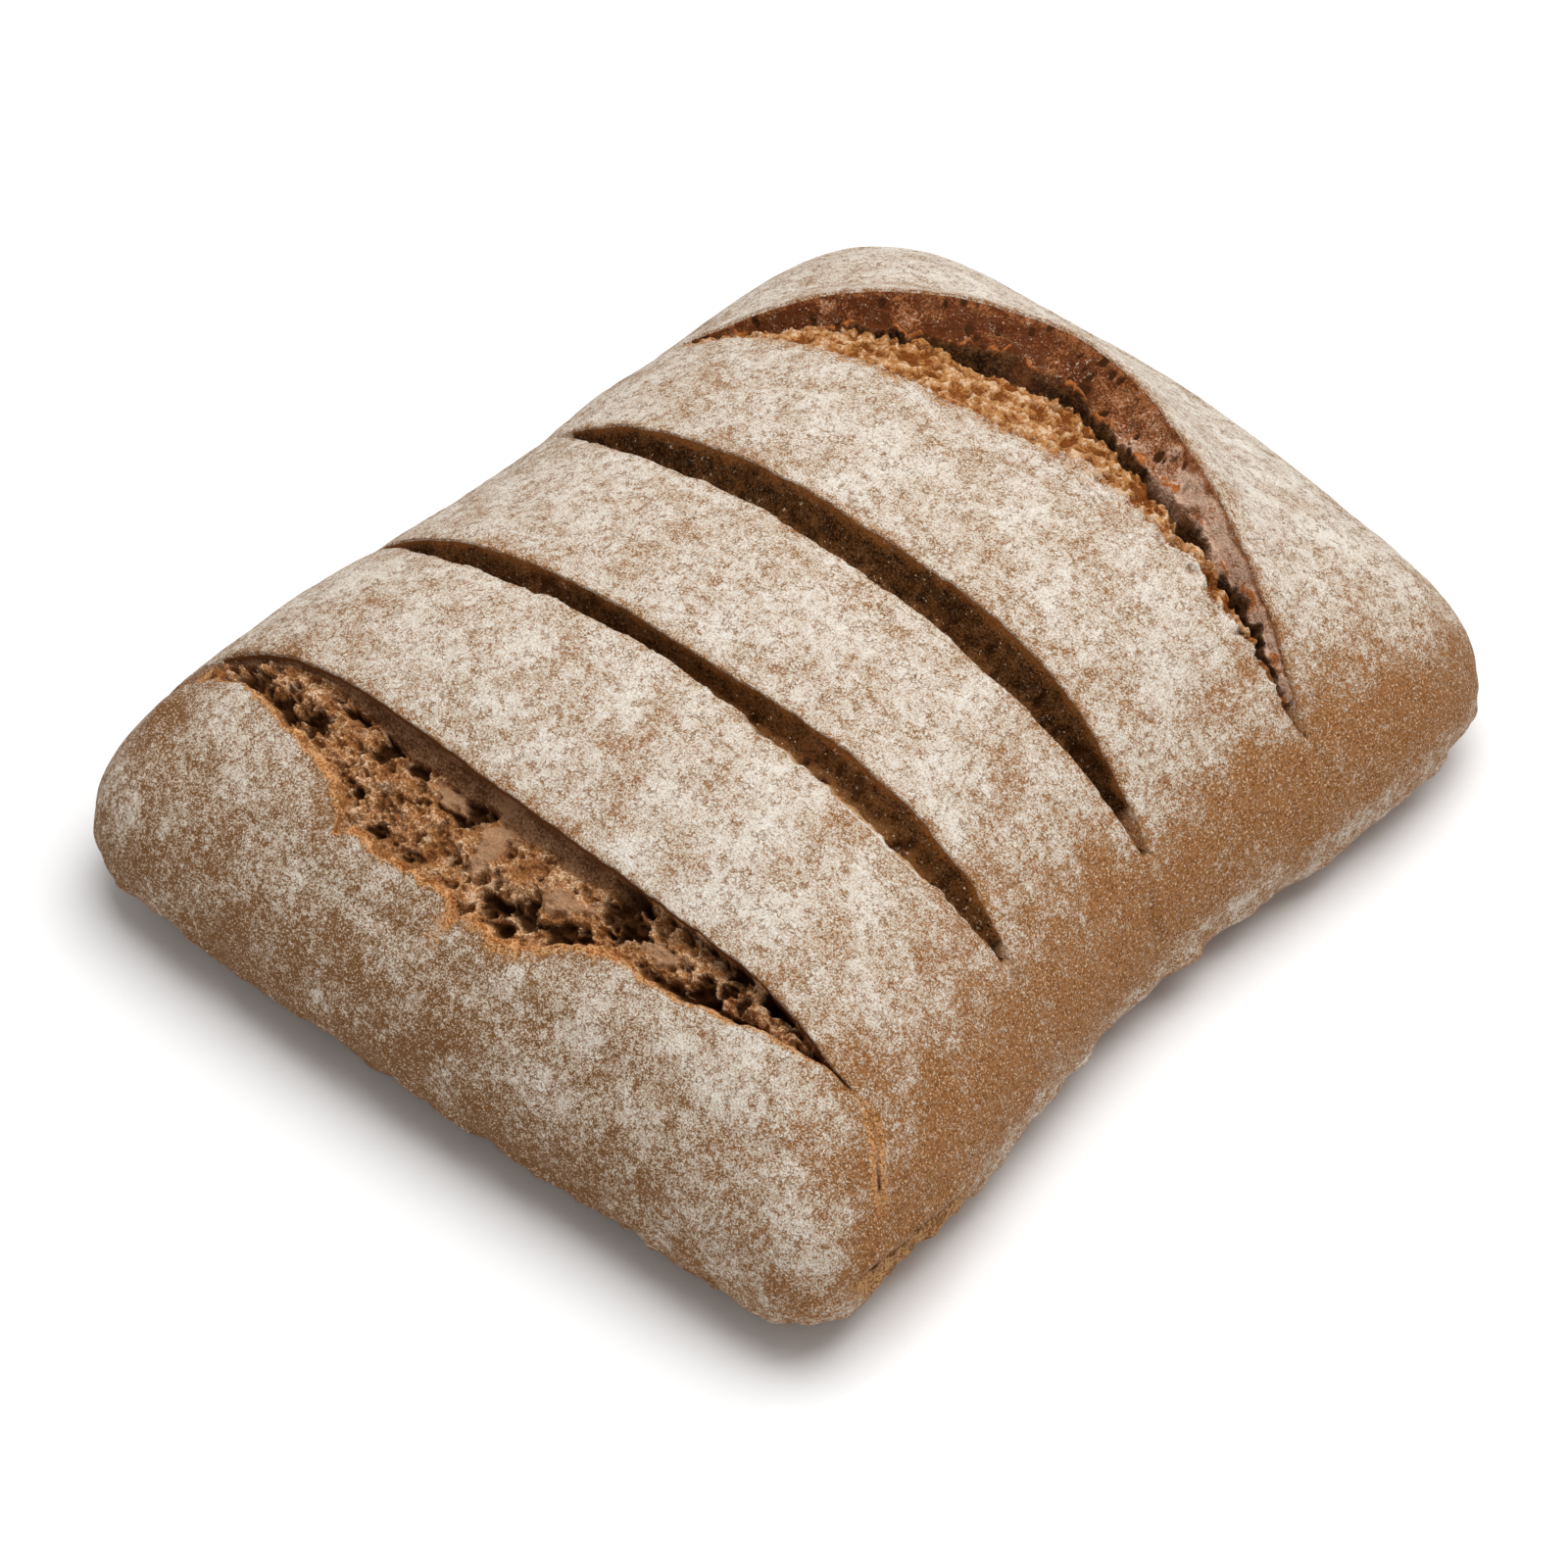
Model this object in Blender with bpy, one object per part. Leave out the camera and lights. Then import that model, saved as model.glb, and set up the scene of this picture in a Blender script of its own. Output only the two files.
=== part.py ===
# Rye loaf: one flat, pillow-shaped bread, baked free on the oven floor, with four slashes
# across its top. The front slash has torn open over spongy crumb, the two middle ones are
# clean knife cuts, and the back one has opened under a raised ear of crust.
# X runs along the slashes, Y along the loaf from front to back, and Z up from the floor.
# Sizes are in millimetres until the mesh is finished.
import math

import bmesh
import bpy
from mathutils import Vector, noise

MM = 0.001

# Main form of the loaf
HALF_WIDTH = 93.0
HALF_LENGTH = 111.2
WIDEST_AT = 15.8
CROWN_RISE = 52.3
CROWN_POWER = 2.03
FOOT_SHARE = 0.80
SHOULDER_SHARE = 0.90

# Outline seen from above: how square each corner is, and how the sides draw in or swell
MIDDLE_SQUARENESS = 3.0
BACK_RIGHT_CORNER = 8.3
BACK_LEFT_CORNER = 7.1
FRONT_LEFT_CORNER = 7.9
FRONT_RIGHT_CORNER = 16.5
RIGHT_WAIST = 7.5
LEFT_WAIST = 4.3
FRONT_SWELL = 2.1
BACK_SWELL = 6.4
WIDTH_TAPER = 0.035
LENGTH_TAPER = 0.043
WAIST_SPREAD = 0.5
CORNER_PUSH = 0.013

# Unevenness of the baked crust
BAND_SWELL = 1.3
END_BAND_SWELL = 0.5
LIP_ROLL = 0.7
CRUST_WAVE = 0.9
WAVE_LENGTH = 34.0

# The ear, a flap of crust that stands up over the back slash
EAR_HEIGHT = 7.0
EAR_REACH = 9.0
EAR_MIDDLE = 4.0
EAR_HALF_WIDTH = 74.0

# Crags of the torn crumb
CRAG_HEIGHT = 1.6
CRAG_LENGTH = 6.5

# Past its tip a slash closes and its two edges fan out to even spacing
TIP_FAN = 0.3
TIP_GAP = 0.7

# Grid of the surface
COLUMNS = 44
LEVELS = 8
FRONT_ROWS = 7
BAND_ROWS = 5
BACK_ROWS = 8


class Slash:
    """One slash: its two lips seen from above, and the section of the opening.

    near and far are (x, y) points of the lips, tips are the x of the two ends,
    and section gives (share of the way from near to far lip, depth under the lips).
    """

    def __init__(self, tips, near, far, section, rows, crags):
        self.tips = tips
        self.near = near
        self.far = far
        self.section = section
        self.rows = rows
        self.crags = crags


FRONT_SLASH = Slash(
    tips=(-84.0, 80.0),
    near=((-84, -84), (-70, -83), (-42, -89), (-30, -94), (0, -95), (14, -94), (24, -88),
          (45, -86), (65, -82), (80, -78)),
    far=((-84, -77), (-72, -74.5), (-50, -74), (0, -75.3), (50, -76), (80, -79)),
    section=((0, 0), (0.07, 2.6), (0.3, 4.4), (0.6, 4.2), (0.84, 5.2), (0.95, 3.6), (1, 0)),
    rows=9,
    crags=1.0,
)
SECOND_SLASH = Slash(
    tips=(-79.0, 79.0),
    near=((-79, -37), (-60, -41), (0, -38), (45, -41), (79, -37)),
    far=((-79, -36), (-60, -34.5), (0, -33.5), (45, -31.5), (66, -32), (79, -35)),
    section=((0, 0), (0.12, 4.2), (0.34, 6.4), (0.6, 5.2), (1, 0)),
    rows=5,
    crags=0.1,
)
THIRD_SLASH = Slash(
    tips=(-71.0, 78.0),
    near=((-71, 7), (-55, 2), (0, 1), (50, 1.5), (78, 3)),
    far=((-71, 9), (-55, 10.5), (0, 11), (50, 10.5), (78, 5)),
    section=((0, 0), (0.1, 4.4), (0.34, 7.6), (0.6, 6.0), (1, 0)),
    rows=6,
    crags=0.1,
)
BACK_SLASH = Slash(
    tips=(-72.0, 80.0),
    near=((-72, 42), (-55, 45), (-11, 50), (8, 52), (36, 51), (64, 47), (80, 46)),
    far=((-72, 44), (-60, 56), (-44, 69), (-30, 80), (-12, 86), (6, 83), (24, 75), (48, 63),
         (66, 54), (80, 47)),
    section=((0, 0), (0.15, 1.6), (0.4, 4.2), (0.56, 6.0), (0.63, 12.5), (0.72, 8.4), (1, 0)),
    rows=10,
    crags=0.6,
)
SLASHES = (FRONT_SLASH, SECOND_SLASH, THIRD_SLASH, BACK_SLASH)


def along(points, x):
    """Read a smooth line through the points at x; past its ends it runs on level."""
    if x <= points[0][0]:
        return points[0][1]
    if x >= points[-1][0]:
        return points[-1][1]
    last = len(points) - 2
    index = 0
    while points[index + 1][0] < x:
        index += 1
    before = points[max(index - 1, 0)]
    start = points[index]
    end = points[index + 1]
    after = points[min(index + 2, last + 1)]
    span = end[0] - start[0]
    start_slope = (end[1] - before[1]) / (end[0] - before[0]) * span
    end_slope = (after[1] - start[1]) / (after[0] - start[0]) * span
    t = (x - start[0]) / span
    rest = 1 - t
    value = start[1] * rest * rest * (1 + 2 * t) + end[1] * t * t * (3 - 2 * t)
    return value + start_slope * t * rest * rest - end_slope * t * t * rest


def straight(points, x):
    """Read a line of straight pieces through the points at x."""
    for start, end in zip(points, points[1:]):
        if x <= end[0]:
            return start[1] + (end[1] - start[1]) * (x - start[0]) / (end[0] - start[0])
    return points[-1][1]


def outline_reach(angle, ring):
    """How far the rounded-square outline reaches at an angle; inner rings are rounder."""
    right = max(math.cos(angle), 0)
    left = max(-math.cos(angle), 0)
    back = max(math.sin(angle), 0)
    front = max(-math.sin(angle), 0)
    floor = 0.001
    shares = (right * back + floor, left * back + floor, left * front + floor, right * front + floor)
    corners = (BACK_RIGHT_CORNER, BACK_LEFT_CORNER, FRONT_LEFT_CORNER, FRONT_RIGHT_CORNER)
    squareness = sum(share * corner for share, corner in zip(shares, corners)) / sum(shares)
    power = MIDDLE_SQUARENESS + (squareness - MIDDLE_SQUARENESS) * ring * ring
    return ((right + left) ** power + (back + front) ** power) ** (-1 / power)


def plan(angle, ring):
    """Place of a point on the given ring of the outline, seen from above."""
    reach = ring * outline_reach(angle, ring)
    across = reach * math.cos(angle)
    lengthwise = reach * math.sin(angle)
    waist = RIGHT_WAIST if across > 0 else -LEFT_WAIST
    swell = BACK_SWELL if lengthwise > 0 else -FRONT_SWELL
    x = across * HALF_WIDTH * (1 - WIDTH_TAPER * lengthwise)
    x -= waist * math.exp(-(lengthwise / WAIST_SPREAD) ** 2) * abs(across) ** 1.5
    y = lengthwise * HALF_LENGTH * (1 - LENGTH_TAPER * across)
    y += swell * math.exp(-(across / WAIST_SPREAD) ** 2) * abs(lengthwise) ** 1.5
    corner = 1 + CORNER_PUSH * (across * lengthwise) ** 2
    return x * corner, y * corner


def crown_point(a, b):
    """Point of the smooth top; a and b run from -1 to 1 out to the shoulder."""
    ring = SHOULDER_SHARE * max(abs(a), abs(b))
    x, y = plan(math.atan2(b, a), ring)
    rise = (1 - ring ** CROWN_POWER) ** (1 / CROWN_POWER)
    return Vector((x, y, WIDEST_AT + CROWN_RISE * rise))


def crown_normal(a, b):
    """Direction straight out of the smooth top."""
    step = 0.01
    across = crown_point(a + step, b) - crown_point(a - step, b)
    lengthwise = crown_point(a, b + step) - crown_point(a, b - step)
    return across.cross(lengthwise).normalized()


def side_point(a, b, level):
    """Point of the side under the shoulder point (a, b); level runs from 1 down to 0."""
    angle = math.atan2(b, a)
    shoulder_turn = math.acos(SHOULDER_SHARE ** (CROWN_POWER / 2))
    turn = level * (shoulder_turn + math.pi / 2) - math.pi / 2
    if turn >= 0:
        ring = math.cos(turn) ** (2 / CROWN_POWER)
        z = WIDEST_AT + CROWN_RISE * math.sin(turn) ** (2 / CROWN_POWER)
    else:
        ring = FOOT_SHARE + (1 - FOOT_SHARE) * math.cos(turn)
        z = WIDEST_AT * (1 + math.sin(turn))
    x, y = plan(angle, ring)
    return Vector((x, y, z))


def lip_y(slash, points, side, x):
    """Place of a lip at x; side is -1 for the near lip and 1 for the far one."""
    beyond = max(slash.tips[0] - x, x - slash.tips[1], 0)
    middle = (along(slash.near, x) + along(slash.far, x)) / 2
    half = max(abs(along(points, x) - middle), TIP_GAP / 2)
    return middle + side * (half + beyond * TIP_FAN)


def grid_line(a, slash, points, side):
    """Find b where the column a crosses a lip, by halving."""
    low = -1.0
    high = 1.0
    for _ in range(30):
        b = (low + high) / 2
        here = crown_point(a, b)
        if here.y < lip_y(slash, points, side, here.x):
            low = b
        else:
            high = b
    return (low + high) / 2


def column_knots(a):
    """The values of b where column a crosses the front edge, the eight lips and the back."""
    knots = [-1.0]
    for slash in SLASHES:
        knots.append(grid_line(a, slash, slash.near, -1))
        knots.append(grid_line(a, slash, slash.far, 1))
    knots.append(1.0)
    return knots


def row_plan():
    """List the rows as (knot before the row, share of the way to the next knot)."""
    counts = [FRONT_ROWS]
    for slash in SLASHES:
        counts.append(slash.rows)
        counts.append(BAND_ROWS)
    counts[-1] = BACK_ROWS
    rows = []
    for knot, count in enumerate(counts):
        rows += [(knot, step / count) for step in range(count)]
    rows.append((len(counts) - 1, 1.0))
    return rows


ROWS = row_plan()


def band_lift(knot, share):
    """Swelling of the crust between two slashes, rolled over a little at each lip."""
    outer = knot == 0 or knot == 2 * len(SLASHES)
    swell = END_BAND_SWELL if outer else BAND_SWELL
    from_lip = 1 - share if knot == 0 else share
    roll = LIP_ROLL * math.exp(-from_lip / 0.2)
    if not outer:
        roll += LIP_ROLL * math.exp(-(1 - share) / 0.2)
    return swell * math.sin(math.pi * share) ** 0.7 + roll - LIP_ROLL


def ear_lift(point):
    """Height of the ear over the smooth top, most at the back slash's far lip."""
    across = 1 - ((point.x - EAR_MIDDLE) / EAR_HALF_WIDTH) ** 2
    behind = max(point.y - lip_y(BACK_SLASH, BACK_SLASH.far, 1, point.x), 0)
    return EAR_HEIGHT * max(across, 0) * math.exp(-(behind / EAR_REACH) ** 2)


def wave(point):
    """Slow unevenness of the baked dough."""
    return CRUST_WAVE * noise.noise(point / WAVE_LENGTH)


def crust_point(a, b, knot, share):
    """Point of the crust between two slashes."""
    point = crown_point(a, b)
    lifted = point + crown_normal(a, b) * (band_lift(knot, share) + wave(point))
    if knot == 2 * len(SLASHES):
        lifted.z += ear_lift(point)
    return lifted


def lip_point(a, b, far):
    """Point on a slash's lip; the back slash's far lip is the edge of the ear."""
    point = crown_point(a, b)
    lifted = point + crown_normal(a, b) * wave(point)
    if far:
        lifted.z += ear_lift(point)
    return lifted


def opening_point(a, knots, knot, share):
    """Point inside a slash: on the chord between its lips, less the section's depth."""
    slash = SLASHES[(knot - 1) // 2]
    near = lip_point(a, knots[knot], False)
    far = lip_point(a, knots[knot + 1], slash is BACK_SLASH)
    chord = near.lerp(far, share)
    middle = sum(slash.tips) / 2
    half = (slash.tips[1] - slash.tips[0]) / 2
    full = max(1 - abs((chord.x - middle) / half) ** 3, 0)
    depth = full * straight(slash.section, share)
    crag = CRAG_HEIGHT * slash.crags * full * math.sin(math.pi * share)
    crag *= noise.noise(chord / CRAG_LENGTH)
    inward = crown_normal(a, (knots[knot] + knots[knot + 1]) / 2)
    return chord - inward * (depth - crag)


def column_share(column):
    """Columns are even, and run from -1 at the left to 1 at the right."""
    return 2 * column / COLUMNS - 1


def grid_block():
    """A block cut by planes into one cell for each column, row and level."""
    rows = len(ROWS) - 1
    mesh = bmesh.new()
    bmesh.ops.create_cube(mesh, size=1.0)
    for vert in mesh.verts:
        vert.co = (Vector(vert.co) + Vector((0.5, 0.5, 0.5))) * Vector((COLUMNS, rows, LEVELS))
    for axis, count in enumerate((COLUMNS, rows, LEVELS)):
        normal = Vector((0, 0, 0))
        normal[axis] = 1
        for cut in range(1, count):
            parts = mesh.verts[:] + mesh.edges[:] + mesh.faces[:]
            bmesh.ops.bisect_plane(mesh, geom=parts, plane_co=normal * cut, plane_no=normal)
    return mesh


def shape_block(mesh):
    """Move each grid point of the block to its place on the loaf."""
    columns = [column_knots(column_share(column)) for column in range(COLUMNS + 1)]
    for vert in mesh.verts:
        column, row, level = (round(value) for value in vert.co)
        a = column_share(column)
        knots = columns[column]
        knot, share = ROWS[row]
        b = knots[knot] + (knots[knot + 1] - knots[knot]) * share
        in_slash = knot % 2 == 1
        lift = 0 if in_slash else band_lift(knot, share)
        if level == LEVELS and in_slash and share > 0:
            vert.co = opening_point(a, knots, knot, share)
        elif level == LEVELS and (in_slash or share == 0 and knot > 0):
            vert.co = lip_point(a, b, knot == 2 * len(SLASHES))
        elif level == LEVELS:
            vert.co = crust_point(a, b, knot, share)
        elif level > 0:
            fade = level / LEVELS
            point = side_point(a, b, fade)
            out = Vector((a, b, 0)).normalized()
            vert.co = point + out * fade * (lift + wave(point))
        else:
            x, y = plan(math.atan2(b, a), FOOT_SHARE * max(abs(a), abs(b)))
            vert.co = (x, y, 0)


def dissolve_foot(mesh):
    """Make the flat foot one face."""
    foot = [face for face in mesh.faces if all(vert.co.z < 0.001 for vert in face.verts)]
    bmesh.ops.dissolve_faces(mesh, faces=foot)


def crust_material():
    """Brown rye crust under a thin dusting of flour."""
    material = bpy.data.materials.new("floured_rye_crust")
    material.use_nodes = True
    shader = material.node_tree.nodes["Principled BSDF"]
    shader.inputs["Base Color"].default_value = (0.42, 0.30, 0.20, 1.0)
    shader.inputs["Roughness"].default_value = 0.85
    shader.inputs["Metallic"].default_value = 0.0
    return material


def make_loaf(collection):
    """The whole loaf, centred over the origin and standing on the floor."""
    mesh = grid_block()
    shape_block(mesh)
    dissolve_foot(mesh)
    for axis in (0, 1):
        values = [vert.co[axis] for vert in mesh.verts]
        middle = (min(values) + max(values)) / 2
        for vert in mesh.verts:
            vert.co[axis] -= middle
    bmesh.ops.scale(mesh, vec=(MM, MM, MM), verts=mesh.verts)
    bmesh.ops.recalc_face_normals(mesh, faces=mesh.faces)
    for face in mesh.faces:
        face.smooth = True
    data = bpy.data.meshes.new("loaf")
    mesh.to_mesh(data)
    mesh.free()
    data.materials.append(crust_material())
    loaf = bpy.data.objects.new("loaf", data)
    collection.objects.link(loaf)


for old in list(bpy.data.objects):
    bpy.data.objects.remove(old, do_unlink=True)
bread = bpy.data.collections.new("rye_bread")
bpy.context.scene.collection.children.link(bread)
make_loaf(bread)
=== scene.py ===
import bpy
import numpy as np
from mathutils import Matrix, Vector, noise


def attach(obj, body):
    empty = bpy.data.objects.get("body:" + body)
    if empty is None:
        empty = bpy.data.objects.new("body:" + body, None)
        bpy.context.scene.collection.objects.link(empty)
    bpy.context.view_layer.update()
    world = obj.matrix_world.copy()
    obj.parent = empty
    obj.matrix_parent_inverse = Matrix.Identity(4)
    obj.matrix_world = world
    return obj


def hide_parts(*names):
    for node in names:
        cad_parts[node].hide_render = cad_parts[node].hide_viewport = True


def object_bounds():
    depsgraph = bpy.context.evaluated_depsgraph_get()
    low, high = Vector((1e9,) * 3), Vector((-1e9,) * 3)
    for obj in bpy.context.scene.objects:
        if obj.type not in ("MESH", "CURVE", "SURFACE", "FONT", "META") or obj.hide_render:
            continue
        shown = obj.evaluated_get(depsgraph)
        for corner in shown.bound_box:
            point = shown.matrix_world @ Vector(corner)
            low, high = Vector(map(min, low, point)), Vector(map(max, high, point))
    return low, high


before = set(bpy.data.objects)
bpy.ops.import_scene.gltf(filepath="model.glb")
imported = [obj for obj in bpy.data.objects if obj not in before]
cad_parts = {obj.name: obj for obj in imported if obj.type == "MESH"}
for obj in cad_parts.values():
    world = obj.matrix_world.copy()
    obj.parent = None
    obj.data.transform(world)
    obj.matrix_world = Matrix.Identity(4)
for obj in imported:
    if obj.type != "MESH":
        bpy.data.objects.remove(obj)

cad_low, cad_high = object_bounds()

# The crust: one piece of rye dough, rolled in flour, proved flat and baked free on the oven
# floor, so that it spread into a pillow with rounded corners and a flat foot. Its sizes are in
# millimetres and repeat the solid's; the surface is far finer, down to the lips of the slashes.
MM = 0.001
HALF_WIDTH = 93.0
HALF_LENGTH = 111.2
WIDEST_AT = 15.8
CROWN_RISE = 52.3
CROWN_POWER = 2.03
FOOT_SHARE = 0.80
SHOULDER_SHARE = 0.90
SHOULDER_TURN = np.arccos(SHOULDER_SHARE ** (CROWN_POWER / 2))
FORM_MIDDLE = np.array((0.446, 1.402, 0.0))

MIDDLE_SQUARENESS = 3.0
CORNER_SQUARENESS = (8.3, 7.1, 7.9, 16.5)
RIGHT_WAIST = 7.5
LEFT_WAIST = 4.3
FRONT_SWELL = 2.1
BACK_SWELL = 6.4
WIDTH_TAPER = 0.035
LENGTH_TAPER = 0.043
WAIST_SPREAD = 0.5
CORNER_PUSH = 0.013

BAND_SWELL = 1.3
END_BAND_SWELL = 0.5
LIP_ROLL = 0.7
CRUST_WAVE = 0.9
WAVE_LENGTH = 34.0
EAR_HEIGHT = 7.0
EAR_REACH = 9.0
EAR_MIDDLE = 4.0
EAR_HALF_WIDTH = 74.0
TIP_FAN = 0.3
TIP_GAP = 0.7
TEETH = 4096
HALVINGS = 30
CROWDING = 0.55


class Slash:
    """A slash: its lips seen from above, its section, and how ragged its lips are."""

    def __init__(self, tips, near, far, section, ragged, recess, crack, tears=()):
        self.tips = tips
        self.near = np.array(near, float)
        self.far = np.array(far, float)
        self.section = np.array(section, float)
        self.ragged = ragged
        self.recess = recess
        self.crack = crack
        self.tears = tears


FRONT_SLASH = Slash(
    tips=(-84.0, 80.0),
    near=((-84, -84), (-70, -83), (-42, -89), (-30, -94), (0, -95), (14, -94), (24, -88),
          (45, -86), (65, -82), (80, -78)),
    far=((-84, -77), (-72, -74.5), (-50, -74), (0, -75.3), (50, -76), (80, -79)),
    section=((0, 0.25), (0.06, 0.7), (0.15, 2.2), (0.3, 3.6), (0.6, 3.8), (0.84, 5.0), (0.95, 3.6),
             (1, 0.4)),
    ragged=(1.0, 0.25),
    recess=12.0,
    crack=(1.6, 30.0),
    tears=((-31.6, 3.0), (-1.5, 3.2)),
)
SECOND_SLASH = Slash(
    tips=(-83.0, 79.0),
    near=((-83, -36.5), (-60, -41), (0, -38), (45, -41), (79, -37)),
    far=((-83, -35.8), (-60, -34.5), (0, -33.5), (45, -31.5), (66, -32), (79, -35)),
    section=((0, 0.4), (0.12, 4.2), (0.34, 6.4), (0.6, 5.2), (1, 0.3)),
    ragged=(0.8, 0.45),
    recess=9.5,
    crack=(0.9, 38.0),
)
THIRD_SLASH = Slash(
    tips=(-76.0, 78.0),
    near=((-76, 6.8), (-55, 2), (0, 1), (50, 1.5), (78, 3)),
    far=((-76, 7.8), (-55, 10.5), (0, 11), (50, 10.5), (78, 5)),
    section=((0, 0.4), (0.1, 4.4), (0.34, 7.6), (0.6, 6.0), (1, 0.3)),
    ragged=(0.6, 0.45),
    recess=10.5,
    crack=(0.9, 36.5),
)
BACK_SLASH = Slash(
    tips=(-77.0, 80.0),
    near=((-77, 40), (-55, 45), (-11, 50), (8, 52), (36, 51), (64, 47), (80, 46)),
    far=((-77, 41), (-60, 56), (-44, 69), (-30, 80), (-12, 86), (6, 83), (24, 75), (48, 63),
         (66, 54), (80, 47)),
    section=((0, 0.1), (0.15, 0.9), (0.4, 2.6), (0.66, 4.4), (0.8, 4.4), (1, 0.3)),
    ragged=(0.9, 0.5),
    recess=15.0,
    crack=(1.2, 36.0),
)
SLASHES = (FRONT_SLASH, SECOND_SLASH, THIRD_SLASH, BACK_SLASH)
LAST_KNOT = 2 * len(SLASHES)

COLUMNS = 212
FRONT_ROWS = 18
BAND_ROWS = 48
BACK_ROWS = 60
SLASH_SHARES = (0, 0.012, 0.05, 0.2, 0.42, 0.5, 0.58, 0.8, 0.95, 0.988)
LEVELS_DOWN = 36
LEVEL_SHARES = (0, 0.28, 0.53, 0.70, 1)
LEVEL_TURNS = (26.0, 8.0, 0.0, -20.0, -90.0)
FOOT_RINGS = (0.79, 0.72, 0.55)
LEFT_WRAP = 2.0


def along(points, x):
    """Read a smooth line through the points at each x; past its ends it runs on level."""
    at = points[:, 0]
    value = points[:, 1]
    x = np.clip(x, at[0], at[-1])
    last = len(points) - 2
    index = np.clip(np.searchsorted(at, x) - 1, 0, last)
    before = np.maximum(index - 1, 0)
    after = np.minimum(index + 2, last + 1)
    span = at[index + 1] - at[index]
    start_slope = (value[index + 1] - value[before]) / (at[index + 1] - at[before]) * span
    end_slope = (value[after] - value[index]) / (at[after] - at[index]) * span
    t = (x - at[index]) / span
    rest = 1 - t
    line = value[index] * rest * rest * (1 + 2 * t) + value[index + 1] * t * t * (3 - 2 * t)
    return line + start_slope * t * rest * rest - end_slope * t * t * rest


def smooth_step(low, high, x):
    """0 below low and 1 above high, with a smooth turn between."""
    t = np.clip((x - low) / (high - low), 0, 1)
    return t * t * (3 - 2 * t)


def jagged(x, length, seed):
    """A seeded ragged line from -1 to 1 with teeth of the given length."""
    teeth = np.random.default_rng(seed).uniform(-1, 1, TEETH)
    place = x / length + 1000
    index = np.floor(place).astype(int)
    t = place - index
    t = t * t * (3 - 2 * t)
    return teeth[index % TEETH] * (1 - t) + teeth[(index + 1) % TEETH] * t


def lumps(points, size, shift=0.0):
    """Smooth noise from -1 to 1 at each point, with lumps of the given size."""
    flat = (points.reshape(-1, 3) / size + shift).tolist()
    values = [noise.noise(place) for place in flat]
    return np.array(values).reshape(points.shape[:-1])


def plan(angle, ring):
    """Place of a ring's point seen from above: a rounded square with waists and swells."""
    right = np.maximum(np.cos(angle), 0)
    left = np.maximum(-np.cos(angle), 0)
    back = np.maximum(np.sin(angle), 0)
    front = np.maximum(-np.sin(angle), 0)
    shares = [right * back, left * back, left * front, right * front]
    shares = [share + 0.001 for share in shares]
    squareness = sum(s * c for s, c in zip(shares, CORNER_SQUARENESS)) / sum(shares)
    power = MIDDLE_SQUARENESS + (squareness - MIDDLE_SQUARENESS) * ring * ring
    reach = ring * ((right + left) ** power + (back + front) ** power) ** (-1 / power)
    across = reach * np.cos(angle)
    lengthwise = reach * np.sin(angle)
    waist = np.where(across > 0, RIGHT_WAIST, -LEFT_WAIST)
    swell = np.where(lengthwise > 0, BACK_SWELL, -FRONT_SWELL)
    x = across * HALF_WIDTH * (1 - WIDTH_TAPER * lengthwise)
    x = x - waist * np.exp(-(lengthwise / WAIST_SPREAD) ** 2) * np.abs(across) ** 1.5
    y = lengthwise * HALF_LENGTH * (1 - LENGTH_TAPER * across)
    y = y + swell * np.exp(-(across / WAIST_SPREAD) ** 2) * np.abs(lengthwise) ** 1.5
    corner = 1 + CORNER_PUSH * (across * lengthwise) ** 2
    return x * corner, y * corner


def crown(a, b):
    """Points of the smooth top; a and b run from -1 to 1 out to the shoulder."""
    ring = SHOULDER_SHARE * np.maximum(np.abs(a), np.abs(b))
    x, y = plan(np.arctan2(b, a), ring)
    rise = (1 - ring ** CROWN_POWER) ** (1 / CROWN_POWER)
    return np.stack((x, y, WIDEST_AT + CROWN_RISE * rise), -1)


def crown_normal(a, b):
    """Direction straight out of the smooth top."""
    step = 0.01
    across = crown(a + step, b) - crown(a - step, b)
    lengthwise = crown(a, b + step) - crown(a, b - step)
    out = np.cross(across, lengthwise)
    return out / np.linalg.norm(out, axis=-1, keepdims=True)


def lip_y(slash, side, x):
    """Place of a lip at x; side is -1 for the near lip and 1 for the far one."""
    beyond = np.maximum(np.maximum(slash.tips[0] - x, x - slash.tips[1]), 0)
    near = along(slash.near, x)
    far = along(slash.far, x)
    half = np.maximum((far - near) / 2, TIP_GAP / 2)
    torn = slash.ragged[0] if side < 0 else slash.ragged[1]
    open_share = np.clip(half / 3, 0, 1) * (beyond == 0)
    seed = int(100 + slash.tips[0] * side)
    teeth = 0.6 * jagged(x, 5.0, seed) + 0.4 * jagged(x, 1.9, seed + 1)
    teeth = teeth + 0.25 * jagged(x, 0.9, seed + 2)
    line = (near + far) / 2 + side * (half + beyond * TIP_FAN) + torn * open_share * teeth
    line = line + 0.6 * jagged(x, 2.5, 77) * np.clip(beyond / 2, 0, 1)
    if side < 0:
        for tear_x, length in slash.tears:
            line = line - length * np.exp(-np.abs((x - tear_x) / 1.5) ** 1.5)
    return line


def lip_lines(a):
    """The values of b where each column a crosses the front edge, the lips and the back."""
    lines = [np.full_like(a, -1.0)]
    for slash in SLASHES:
        for side in (-1, 1):
            low = np.full_like(a, -1.0)
            high = np.full_like(a, 1.0)
            for _ in range(HALVINGS):
                b = (low + high) / 2
                here = crown(a, b)
                short = here[..., 1] < lip_y(slash, side, here[..., 0])
                low = np.where(short, b, low)
                high = np.where(short, high, b)
            lines.append((low + high) / 2)
    lines.append(np.full_like(a, 1.0))
    return np.array(lines)


def wave(points):
    """Slow unevenness of the baked dough."""
    return CRUST_WAVE * lumps(points, WAVE_LENGTH)


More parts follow.
